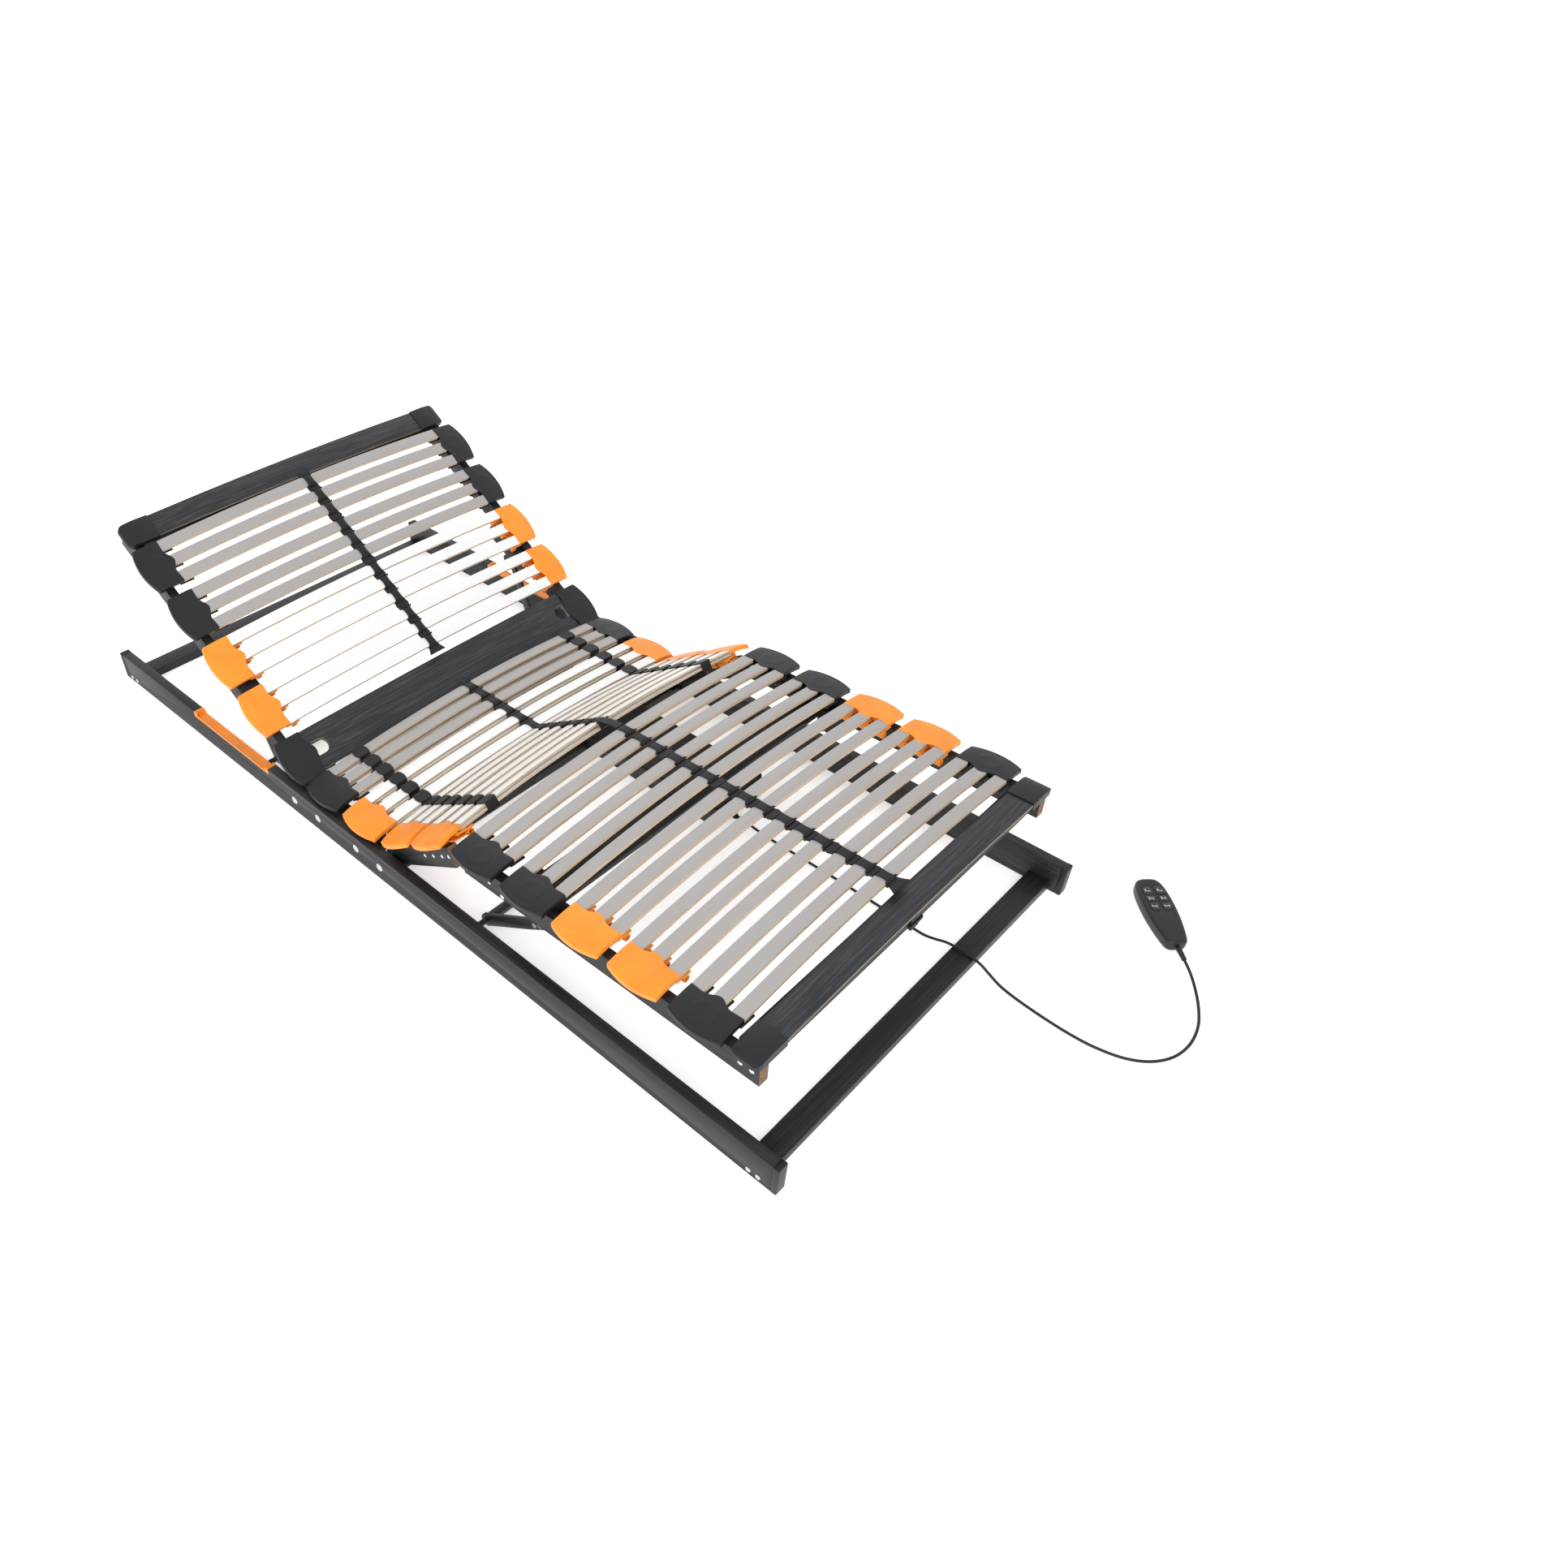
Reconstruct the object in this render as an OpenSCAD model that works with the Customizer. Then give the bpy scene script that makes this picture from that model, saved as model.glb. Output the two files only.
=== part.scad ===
// Adjustable slatted bed base: fixed floor frame, lifting back, thigh and calf sections,
// two lever tubes turned by one low drive, and a corded six-button handset on the floor.
// X is the width, +Y points to the head end, Z is up, Z = 0 is the floor. Lengths in mm.
// The part is drawn with the back and the legs raised; joint value 0 is this pose.

/* [Frame] */
// overall length of the floor frame
frame_len = 1960; // [1900:10:2100]
// outside width of the floor frame rails
frame_w = 884; // [780:2:900]
// height of the floor frame rails
rail_h = 65; // [50:1:80]
// thickness of the floor frame rails
rail_t = 21; // [16:1:28]

/* [Sections] */
// raised angle of the back section
back_angle = 33.4; // [0:0.1:43]
// raised angle of the thigh section
thigh_angle = 32; // [0:0.1:35]
// angle of the calf section, rising to the foot end
calf_angle = 1.27; // [0:0.01:3]
// height of the lifting side rails
side_h = 42; // [36:1:48]
// thickness of the lifting side rails
side_t = 20; // [16:1:22]

/* [Slats] */
// width of one slat
slat_w = 25; // [22:1:28]
// distance between slats in one holder
slat_pitch = 39.5; // [36:0.5:42]
// rise of a slat at the middle of the bed
slat_rise = 21; // [10:1:30]
// distance between slat holders
cap_pitch = 126; // [120:1:130]
// length of one slat holder
cap_len = 104; // [100:1:110]

/* [Handset] */
// length of the handset body
hand_len = 164; // [140:1:180]
// thickness of the handset body
hand_h = 25; // [20:1:30]
// travel clearance round each button
button_gap = 0.3; // [0.2:0.05:0.5]

/* [Hidden] */
$fn = 48;
// floor frame
rail_in = frame_w / 2 - rail_t;
rail_out = frame_w / 2;
end_cap = 12;
rail_y = frame_len / 2 - end_cap;
beam_h = 20;
beam_w = 44;
head_beam_y = 944;
foot_beam_y = -932;
head_bolts = [950, 928];
foot_bolts = [-944, -925];
// pivots
pivot_z = 33;
hip_y = 272;
thigh_y = -12;
knee_s = 256;
knee_n = -2;
knee_y = thigh_y - knee_s * cos(thigh_angle) + knee_n * sin(thigh_angle);
knee_z = pivot_z + knee_s * sin(thigh_angle) + knee_n * cos(thigh_angle);
// lifting side rails, measured from the pivot axis
side_out = 410;
side_in = side_out - side_t;
side_lo = -10;
side_hi = side_lo + side_h;
back_end = 672;
thigh_end = 243;
calf_start = 15;
calf_end = 675.4;
seat_y0 = 28;
seat_y1 = 232;
// bolts
bolt_r = 4;
bolt_fit = 0.05;
head_r = 8.3;
head_t = 2.4;
seat_bolts = [191, 64];
rivet_row = [143.6, 175.6, 207.6, 231.6];
calf_rivets = [20, 51, 82];
// slats
slat_half = 370;
slat_t = 8;
slat_z = 46.8;
twin_t = 5;
twin_gap = 2.2;
cam_r = (slat_half * slat_half + slat_rise * slat_rise) / (2 * slat_rise);
cap_rows = [12.5, 52, 91.5];
// slat holders
cap_in = 371;
cap_apex = 437;
cap_arc = 128.4;
cap_top = 52;
cap_th = 6;
// end boards and hip board
board_half = 352;
board_w = 51;
board_rise = 10;
board_t = 10;
board_z = 39;
hip_board_w = 93.5;
hip_board_half = 368;
// levers
lever_z = 14;
tube_r = 10;
stub_r = 6;
arm_in = 372;
arm_t = 8;
roller_r = 9.5;
back_lever_l = 165;
back_lever_y = hip_y + sqrt(back_lever_l * back_lever_l - (pivot_z - lever_z) * (pivot_z - lever_z));
track_tilt = 3.5;
back_lever_a = 2 * (back_angle - track_tilt) + asin((pivot_z - lever_z) / back_lever_l);
leg_lever_l = 256;
leg_lever_y = -250;
leg_lever_a = 33.44;
// drive
drive_x0 = 115;
drive_x1 = 272;
drive_y0 = -385;
drive_y1 = 398;
drive_z0 = 2;
drive_z1 = 48;
inlet_x = 240;
plug_x = 165;
plug_z = 9;
// sliders
slide_x = 295;
slide_w = 32;
slide_l = 28.8;
// strap
strap_w = 20;
strap_t = 2.2;
// handset
hand_x = 495;
hand_y = -1140;
hand_turn = -44.4;
hand_side = [[81, 9], [79.5, 15], [76, 20], [70, 23.6], [62, 26], [50, 28], [34, 29.2],
    [16, 29.5], [-2, 29.2], [-20, 28], [-38, 26], [-54, 23.6], [-66, 21.4], [-74, 19],
    [-79, 15.5], [-81.6, 10]];
button_w = 16.4;
button_x = 11.5;
button_y = [47, 26.5, 6.5];
button_h = [19.6, 13, 18.6];
button_base = 19;
button_top = 26;
relief_r = 5;
relief_l = 31;
// cord route: x, y, z of the points the cable passes through
cord_r = 2.6;
cord_sides = 10;
cord_route = [[415.1, -1221.4, 13], [396, -1241, 11], [372, -1262, 6], [340, -1283, 2.9], [300, -1300, 2.7],
    [255, -1306, 2.7], [212, -1298, 2.7], [177, -1275, 2.7], [153, -1240, 2.7],
    [140, -1195, 2.7], [136, -1150, 2.7], [137, -1100, 2.7], [141, -1050, 2.7],
    [146, -1015, 4], [150, -990, 11], [152, -968, 20], [153, -946, 23.4], [154, -918, 23.4],
    [155, -896, 20], [156, -874, 11], [157, -850, 4], [159, -815, 2.7], [161, -770, 2.7],
    [163, -710, 2.7], [164.5, -640, 2.7], [165, -570, 2.7], [165, -500, 2.8],
    [165, -465, 4.5], [165, -435, 7.8], [165, -411, 9]];

// ---- frames and small shapes

module both_sides() {
    children();
    mirror([1, 0, 0]) children();
}

module on_back() {
    translate([0, hip_y, pivot_z]) rotate([back_angle, 0, 0]) children();
}

module on_thigh() {
    translate([0, thigh_y, pivot_z]) rotate([-thigh_angle, 0, 0]) mirror([0, 1, 0]) children();
}

module on_calf() {
    translate([0, knee_y, knee_z]) rotate([-calf_angle, 0, 0]) mirror([0, 1, 0]) children();
}

module on_seat() {
    translate([0, 0, pivot_z]) children();
}

// side view shape, drawn as (along, up), given a thickness across the bed
module across(x0, t) {
    translate([x0, 0, 0]) rotate([90, 0, 90]) linear_extrude(t) children();
}

// round bar across the bed
module bar(x0, t, r) {
    translate([x0, 0, 0]) rotate([0, 90, 0]) cylinder(h = t, r = r);
}

module dome(x0, r, h) {
    big = (r * r + h * h) / (2 * h);
    translate([x0, 0, 0]) intersection() {
        translate([h - big, 0, 0]) sphere(big);
        translate([0, -r, -r]) cube([h, 2 * r, 2 * r]);
    }
}

module soft_rect(l, w, r) {
    square([l - 2 * r, w], center = true);
    square([l, w - 2 * r], center = true);
    for (sx = [-1, 1], sy = [-1, 1])
        translate([sx * (l / 2 - r), sy * (w / 2 - r)]) circle(r);
}

// strip bent along a large arc across the bed: underside height at the ends is z0
module bow(half, w, rise, t, z0) {
    big = (half * half + rise * rise) / (2 * rise);
    translate([0, w / 2, z0 + rise - big]) rotate([90, 0, 0]) linear_extrude(w) intersection() {
        difference() {
            circle(big + t, $fn = 1440);
            circle(big, $fn = 1440);
        }
        translate([-half, big - rise - t]) square([2 * half, rise + 3 * t]);
    }
}

module slat(s) {
    translate([0, s, 0]) bow(slat_half, slat_w, slat_rise, slat_t, slat_z);
}

module twin_slat(s) {
    for (lift = [0, twin_t + twin_gap])
        translate([0, s, lift]) bow(slat_half, slat_w, slat_rise, twin_t, slat_z);
}

// ---- slat holders

module cap_plate() {
    translate([cap_apex - cap_arc, cap_len / 2, 0]) rotate_extrude($fn = 96) {
        translate([30, cap_top - cap_th]) square([cap_arc - 33, cap_th]);
        translate([cap_arc - 3, cap_top - 3]) circle(3);
        translate([cap_arc - 3, cap_top - 12]) square([3, 9]);
    }
}

module cap_rows_under(z, t) {
    for (c = cap_rows)
        translate([342, c - 15.5, z]) cube([cap_in - 342, 31, t]);
    translate([353, 2, z]) cube([cap_in - 353 + 1, cap_len - 4, t]);
}

module cap_body() {
    intersection() {
        cap_plate();
        translate([cap_in, 0, 0]) cube([80, cap_len, cap_top + 1]);
    }
    translate([side_in + 1, 27, side_hi]) cube([side_t - 2, 50, cap_top - cap_th - side_hi + 0.5]);
    translate([cap_in, 2, cap_top - cap_th]) cube([8, cap_len - 4, cap_th]);
    cap_rows_under(42.5, 4);
}

// faint raised ring on the holder
module cap_ring() {
    intersection() {
        translate([401, 52, cap_top - 0.5]) difference() {
            cylinder(h = 1.1, r = 24);
            translate([0, 0, -1]) cylinder(h = 3, r = 22.5);
        }
        translate([cap_in + 1, 10, cap_top - 1]) cube([52, 84, 3]);
    }
}

module cap_black(s) {
    translate([0, s, 0]) {
        difference() {
            union() {
                cap_body();
                translate([cap_in, 30, 36]) cube([side_in - cap_in + 2, 44, 6.6]);
            }
            translate([side_in - 4, 36, 34]) cube([2, 32, 3]);
        }
        cap_ring();
    }
}

// holder with three sprung tubes under the slat ends
module cap_orange(s) {
    translate([0, s, 0]) {
        difference() {
            union() {
                cap_body();
                for (c = cap_rows)
                    translate([358, c + 14.5, 36]) rotate([90, 0, 0]) cylinder(h = 29, r = 7);
                translate([362, 6, 33]) cube([side_in - 362 + 2, 92, 3]);
            }
            for (c = cap_rows)
                translate([358, c + 16, 36]) rotate([90, 0, 0]) cylinder(h = 32, r = 4.2);
        }
        cap_ring();
    }
}

module end_board(s) {
    translate([0, s + board_w / 2, 0]) bow(board_half, board_w, board_rise, board_t, board_z);
}

module end_board_cap(s) {
    translate([0, s - 1, 0]) difference() {
        intersection() {
            translate([board_half, 0, 0]) rotate([90, 0, 0]) translate([0, 0, -board_w - 2])
                linear_extrude(board_w + 2)
                polygon([[0, 33], [0, 50.5], [34, 51], [52, 49], [63, 46], [69, 42], [70, 38], [70, 33]]);
            translate([board_half + 35, (board_w + 2) / 2, 30]) linear_extrude(24)
                union() {
                    soft_rect(70, board_w + 2, 12);
                    translate([-35, -(board_w + 2) / 2]) square([24, board_w + 2]);
                }
        }
        translate([board_half - 1, -1, 32]) cube([side_in - board_half + 1.2, 42.3, 6.7]);
    }
    translate([side_in + 2, s + 8, side_hi]) cube([side_t - 4, board_w - 16, 3]);
}

// strap over a run of slats with a hook block in every gap
module strap_run(rows, top, low, s0, s1) {
    translate([-strap_w / 2, s0, top + 0.3]) cube([strap_w, s1 - s0, strap_t]);
    for (c = rows, e = [-1, 1])
        if (c + e * (slat_w / 2 + 1.9) > s0)
            translate([-strap_w / 2 - 3, c + e * (slat_w / 2 + 1.9) - 1.5, low])
                cube([strap_w + 6, 3, top + 0.4 - low]);
    for (c = rows)
        translate([-strap_w / 2 - 3, c - slat_w / 2 - 3.4, low - 2]) cube([strap_w + 6, slat_w + 6.8, 2.1]);
}

function rows_of(s0, n) = [for (k = [0 : n - 1], c = cap_rows) s0 + k * cap_pitch + c];

single_top = slat_z + slat_rise + slat_t;
twin_top = slat_z + slat_rise + 2 * twin_t + twin_gap;
slat_low = slat_z + slat_rise - 0.6;
back_rows_white = rows_of(131, 2);
back_rows_grey = rows_of(383, 2);
seat_rows_white = rows_of(12.5, 1);
seat_rows_grey = rows_of(134, 1);
thigh_rows = [each rows_of(25, 1), each rows_of(148, 1)];
calf_rows = rows_of(5, 5);

// ---- floor frame

module base_rails() {
    color([0.13, 0.13, 0.14]) both_sides() difference() {
        translate([rail_in, -rail_y, 0]) cube([rail_t, 2 * rail_y, rail_h]);
        for (y = [hip_y, thigh_y, seat_bolts[0], seat_bolts[1]])
            translate([rail_in - 1, y, pivot_z]) bar(0, rail_t + 2, bolt_r + 0.1);
        for (y = [head_bolts[0], head_bolts[1], foot_bolts[0], foot_bolts[1]])
            translate([rail_in - 1, y, beam_h / 2]) bar(0, rail_t + 2, 3.6);
        translate([rail_in - 1, 360, rail_h - 14]) cube([rail_t + 2, 290, 15]);
    }
}

module flat_beam(y, ends) {
    difference() {
        translate([-rail_in, y - beam_w / 2, 0]) cube([2 * rail_in, beam_w, beam_h]);
        for (b = ends)
            both_sides() translate([rail_in - 40, b, beam_h / 2]) bar(0, 41, 3.6);
    }
}

module end_beams() {
    color([0.13, 0.13, 0.14]) {
        flat_beam(head_beam_y, head_bolts);
        flat_beam(foot_beam_y, foot_bolts);
    }
}

module middle_beam() {
    color([0.13, 0.13, 0.14]) difference() {
        flat_beam(0, []);
        both_sides() translate([side_in - 1, -beam_w / 2 - 1, beam_h - 4.8])
            cube([rail_in - side_in + 2, beam_w + 2, 5]);
    }
}

module rail_end_caps() {
    color([0.08, 0.08, 0.09]) for (m = [0, 1]) mirror([0, m, 0]) both_sides()
        translate([rail_in - 1, rail_y, 0]) cube([rail_t + 2, end_cap, rail_h + 1]);
}

module trough_liners() {
    color([0.95, 0.45, 0.15]) both_sides() difference() {
        translate([rail_in - 0.8, 360, rail_h - 14]) cube([rail_t + 1.6, 290, 14]);
        translate([rail_in + 2.2, 366, rail_h - 11]) cube([rail_t - 4.4, 278, 12]);
        translate([rail_in - 2, 372, rail_h - 9]) cube([rail_t + 4, 266, 10]);
    }
}

module seat_rails() {
    color([0.13, 0.13, 0.14]) both_sides() difference() {
        translate([side_in, seat_y0, pivot_z + side_lo]) cube([side_t, seat_y1 - seat_y0, side_h]);
        for (y = seat_bolts)
            translate([side_in - 1, y, pivot_z]) bar(0, side_t + 2, bolt_r + 0.1);
    }
}

module base_bolts() {
    nut_end = side_in - 0.5;
    color([0.75, 0.75, 0.76]) both_sides() {
        for (y = [hip_y, thigh_y])
            translate([0, y, pivot_z]) rotate([0, 90, 0]) rotate_extrude() polygon([[0, nut_end - 7.5],
            [bolt_r, nut_end - 7.5], [bolt_r, nut_end - 6.5], [7.2, nut_end - 6.5], [7.2, nut_end],
            [bolt_r, nut_end], [bolt_r, rail_out], [head_r + 0.5, rail_out], [head_r - 0.5, rail_out + 1.2],
            [head_r - 3, rail_out + head_t - 0.2], [0, rail_out + head_t]]);
        for (y = seat_bolts)
            translate([0, y, pivot_z]) {
                bar(side_in + 1, rail_out - side_in - 1, bolt_r);
                dome(rail_out, head_r + 0.5, head_t);
            }
        for (y = [head_bolts[0], head_bolts[1], foot_bolts[0], foot_bolts[1]])
            translate([0, y, beam_h / 2]) {
                bar(rail_in - 38, rail_t + 38, 3.5);
                dome(rail_out, 5, 2);
            }
    }
}

module rail_spacers() {
    color([0.1, 0.1, 0.1]) both_sides() for (y = [hip_y, thigh_y, seat_bolts[0], seat_bolts[1]])
        translate([0, y, pivot_z]) difference() {
            bar(side_out + 0.4, rail_in - side_out - 0.4, 9);
            bar(side_out - 1, rail_in - side_out + 2, bolt_r + 0.1);
        }
}

module lever_bearings() {
    color([0.1, 0.1, 0.1]) both_sides() for (y = [back_lever_y, leg_lever_y])
        translate([0, y, lever_z]) difference() {
            translate([side_out + 1, -15, -13]) cube([rail_in - side_out - 1, 30, 27]);
            bar(side_out, rail_in - side_out + 1, stub_r + bolt_fit);
        }
}

module seat_caps_black() {
    color([0.17, 0.18, 0.19]) both_sides() on_seat() cap_black(134);
}

module seat_caps_orange() {
    color([1, 0.5, 0.13]) both_sides() on_seat() cap_orange(12.5);
}

module seat_slats_grey() {
    color([0.72, 0.71, 0.7]) on_seat() for (s = seat_rows_grey) twin_slat(s);
}

module seat_slats_white() {
    color([0.94, 0.94, 0.93]) on_seat() for (s = seat_rows_white) twin_slat(s);
}

module seat_strap() {
    color([0.05, 0.05, 0.05]) on_seat()
        strap_run([each seat_rows_white, each seat_rows_grey], twin_top, slat_low, 13, 240);
}

// ---- drive and handset

module drive_housing() {
    color([0.09, 0.09, 0.1]) difference() {
        union() {
            translate([(drive_x0 + drive_x1) / 2, (drive_y0 + drive_y1) / 2, drive_z0])
                linear_extrude(drive_z1 - drive_z0 - 3)
                soft_rect(drive_x1 - drive_x0, drive_y1 - drive_y0, 14);
            translate([(drive_x0 + drive_x1) / 2, (drive_y0 + drive_y1) / 2, drive_z1 - 3])
                linear_extrude(3)
                soft_rect(drive_x1 - drive_x0 - 6, drive_y1 - drive_y0 - 6, 12);
            translate([drive_x0 + 8, drive_y1 - 20, drive_z0]) cube([drive_x1 - drive_x0 - 16, 70, 24.5]);
        }
        translate([drive_x0 - 1, -beam_w / 2 - 0.5, 0]) cube([drive_x1 - drive_x0 + 2, beam_w + 1, beam_h]);
        for (y = [back_lever_y, leg_lever_y])
            translate([drive_x0 - 1, y, lever_z]) bar(0, drive_x1 - drive_x0 + 2, tube_r + bolt_fit);
        translate([inlet_x - 11, drive_y0 - 1, 8]) cube([22, 15, 12]);
        translate([plug_x, drive_y0 + 14, plug_z]) rotate([90, 0, 0]) cylinder(h = 16, r = 5.05);
    }
    color([0.7, 0.7, 0.7]) for (dx = [-4.3, 4.3])
        translate([inlet_x + dx, drive_y0 + 14.5, 14]) rotate([90, 0, 0]) cylinder(h = 11, r = 1.2);
}

module hand_outline(inset) {
    right = [for (p = hand_side) [p[1] - inset, p[0] * (1 - inset / 81)]];
    left = [for (k = [len(hand_side) - 1 : -1 : 0]) [-right[k][0], right[k][1]]];
    polygon([each right, each left]);
}

module in_hand() {
    translate([hand_x, hand_y, 0]) rotate([0, 0, hand_turn]) children();
}

module handset_lower() {
    color([0.05, 0.05, 0.06]) in_hand() difference() {
        union() {
            linear_extrude(1.6) hand_outline(2.6);
            translate([0, 0, 1.6]) linear_extrude(1.6) hand_outline(1);
            translate([0, 0, 3.2]) linear_extrude(9.8) hand_outline(0);
        }
        translate([0, 0, 3]) linear_extrude(11) hand_outline(2.5);
        translate([0, -hand_len / 2 + 4, 13]) rotate([90, 0, 0]) cylinder(h = 8, r = 3.2);
    }
}

module button_plan(k, grow) {
    square([button_w + 2 * grow, button_h[k] + 2 * grow], center = true);
}

module handset_upper() {
    color([0.05, 0.05, 0.06]) in_hand() difference() {
        union() {
            translate([0, 0, 13]) linear_extrude(8.4) hand_outline(0);
            translate([0, 0, 21.4]) linear_extrude(1.8) hand_outline(1);
            translate([0, 0, 23.2]) linear_extrude(1.8) hand_outline(2.8);
        }
        translate([0, 0, 12]) linear_extrude(10.5) hand_outline(2.5);
        for (k = [0 : 2], sx = [-1, 1])
            translate([sx * button_x, button_y[k], 15]) linear_extrude(12) button_plan(k, button_gap);
        translate([0, -hand_len / 2 + 4, 13]) rotate([90, 0, 0]) cylinder(h = 8, r = 3.2);
    }
}

module one_button(k, sx) {
    color([0.03, 0.03, 0.03]) in_hand() translate([sx * button_x, button_y[k], button_base]) {
        linear_extrude(button_top - button_base - 1.2) button_plan(k, 0);
        translate([0, 0, button_top - button_base - 1.2]) linear_extrude(1.2) button_plan(k, -0.8);
    }
}

module strain_relief() {
    color([0.05, 0.05, 0.05]) in_hand() translate([0, -hand_len / 2 + 0.4, 13]) rotate([90, 0, 0]) {
        cylinder(h = 3, r = relief_r);
        for (k = [0 : 2])
            translate([0, 0, 3 + k * 9.4]) {
                cylinder(h = 2.2, r = relief_r - 1.3);
                translate([0, 0, 2.2]) cylinder(h = 7.2, r1 = relief_r - 0.1 - 0.2 * k, r2 = relief_r - 0.5 - 0.2 * k);
            }
    }
}

// swept cable: smooth curve through the route points
function cord_at(k) = cord_route[max(0, min(len(cord_route) - 1, k))];
function cord_mid(k, t) = let (a = cord_at(k - 1), b = cord_at(k), c = cord_at(k + 1), d = cord_at(k + 2))
    0.5 * (2 * b + (c - a) * t + (2 * a - 5 * b + 4 * c - d) * t * t + (3 * b - a - 3 * c + d) * t * t * t);
cord_pts = [for (k = [0 : len(cord_route) - 2], t = [0, 0.5]) cord_mid(k, t), cord_at(len(cord_route) - 1)];
cord_n = len(cord_pts);
function unit(v) = v / norm(v);
function cord_dir(k) = unit(cord_pts[min(k + 1, cord_n - 1)] - cord_pts[max(k - 1, 0)]);
function cord_out(k) = unit(cross(cord_dir(k), [0, 0, 1]));
function cord_up(k) = cross(cord_out(k), cord_dir(k));
cord_skin = [for (k = [0 : cord_n - 1], j = [0 : cord_sides - 1])
    cord_pts[k] + cord_r * (cos(360 * j / cord_sides) * cord_out(k) + sin(360 * j / cord_sides) * cord_up(k))];
cord_faces = [
    for (k = [0 : cord_n - 2], j = [0 : cord_sides - 1])
        [k * cord_sides + j, k * cord_sides + (j + 1) % cord_sides, (k + 1) * cord_sides + (j + 1) % cord_sides],
    for (k = [0 : cord_n - 2], j = [0 : cord_sides - 1])
        [k * cord_sides + j, (k + 1) * cord_sides + (j + 1) % cord_sides, (k + 1) * cord_sides + j],
    [for (j = [cord_sides - 1 : -1 : 0]) j],
    [for (j = [0 : cord_sides - 1]) (cord_n - 1) * cord_sides + j]];

module handset_cable() {
    color([0.05, 0.05, 0.05]) polyhedron(points = cord_skin, faces = cord_faces, convexity = 10);
}

module handset_plug() {
    color([0.05, 0.05, 0.05]) translate([plug_x, drive_y0 + 12, plug_z]) rotate([90, 0, 0]) {
        cylinder(h = 12, r = 5);
        translate([0, 0, 12]) cylinder(h = 16, r = 6.5);
        translate([0, 0, 28]) cylinder(h = 9.8, r1 = 5, r2 = 3.4);
    }
}

// ---- back section

module back_rails() {
    color([0.13, 0.13, 0.14]) on_back() both_sides() difference() {
        across(side_in, side_t) polygon([[-14, side_lo], [-14, 10], [6, side_hi],
            [back_end, side_hi], [back_end, side_lo]]);
        bar(side_in - 1, side_t + 2, bolt_r + bolt_fit);
    }
}

module end_cross_rail() {
    translate([-side_in, 618, 12]) cube([2 * side_in, 49, 26.5]);
}

module back_cross_rail() {
    color([0.13, 0.13, 0.14]) on_back() end_cross_rail();
}

module head_board() {
    color([0.2, 0.2, 0.21]) on_back() end_board(627);
}

module head_board_caps() {
    color([0.14, 0.14, 0.15]) both_sides() on_back() end_board_cap(627);
}

module hip_cap(s) {
    translate([0, s, 0]) {
        intersection() {
            cap_plate();
            translate([cap_in, 0, 0]) cube([80, cap_len, cap_top + 1]);
        }
        translate([side_in + 1, 27, side_hi]) cube([side_t - 2, 50, cap_top - cap_th - side_hi + 0.5]);
        translate([336, 12, 34]) cube([side_in - 336 + 2, 8, 5.8]);
        translate([336, 88, 34]) cube([side_in - 336 + 2, 8, 5.8]);
        translate([cap_in, 8, 34]) cube([8, 92, 13]);
        cap_ring();
    }
}

module back_caps_black() {
    color([0.17, 0.18, 0.19]) both_sides() on_back() {
        hip_cap(5);
        cap_black(383);
        cap_black(509);
    }
}

module back_caps_orange() {
    color([1, 0.5, 0.13]) both_sides() on_back() {
        cap_orange(131);
        cap_orange(257);
    }
}

module hip_board() {
    color([0.2, 0.2, 0.21]) on_back() difference() {
        translate([0, 61.2, 0]) bow(hip_board_half, hip_board_w, board_rise, board_t, 40);
        both_sides() translate([0, 60, 30]) linear_extrude(40) union() {
            translate([345, 0]) circle(17);
            translate([345, -17]) square([15, 34]);
        }
    }
}

module back_slats_grey() {
    color([0.72, 0.71, 0.7]) on_back() for (s = back_rows_grey) slat(s);
}

module back_slats_white() {
    color([0.94, 0.94, 0.93]) on_back() for (s = back_rows_white) slat(s);
}

module back_strap() {
    color([0.05, 0.05, 0.05]) on_back()
        strap_run([each back_rows_white, each back_rows_grey], single_top, slat_low, 112, 624);
}

// shoe carrying the roller track on the inner face of a rail
module shoe(s0, s1, n0, n1) {
    across(361, 11) polygon([[s0, n0], [s0, side_hi - 8], [s1, side_hi - 8], [s1, n1]]);
    across(361, side_in - 361) polygon([[s0, 14], [s0, side_hi - 8], [s1, side_hi - 8], [s1, 14]]);
}

module back_lift_shoes() {
    lift = (roller_r + 0.5) / cos(track_tilt);
    color([0.1, 0.1, 0.11]) both_sides() on_back()
        shoe(212, 344, lift - 212 * tan(track_tilt), lift - 344 * tan(track_tilt));
}

// ---- thigh section

module thigh_rails() {
    color([0.13, 0.13, 0.14]) on_thigh() both_sides() difference() {
        across(side_in, side_t) polygon([[-14, side_lo], [-14, 10], [6, side_hi],
            [thigh_end, side_hi], [thigh_end, side_lo]]);
        bar(side_in - 1, side_t + 2, bolt_r + bolt_fit);
        for (s = rivet_row)
            translate([0, s, 12.6]) bar(side_in - 1, side_t + 2, 2.6);
    }
}

module thigh_caps() {
    color([1, 0.5, 0.13]) both_sides() on_thigh() {
        cap_orange(25);
        cap_orange(148);
    }
}

module thigh_slats() {
    color([0.94, 0.94, 0.93]) on_thigh() for (s = thigh_rows) twin_slat(s);
}

module thigh_strap() {
    color([0.05, 0.05, 0.05]) on_thigh() strap_run(thigh_rows, twin_top, slat_low, 25.5, 250);
}

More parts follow.
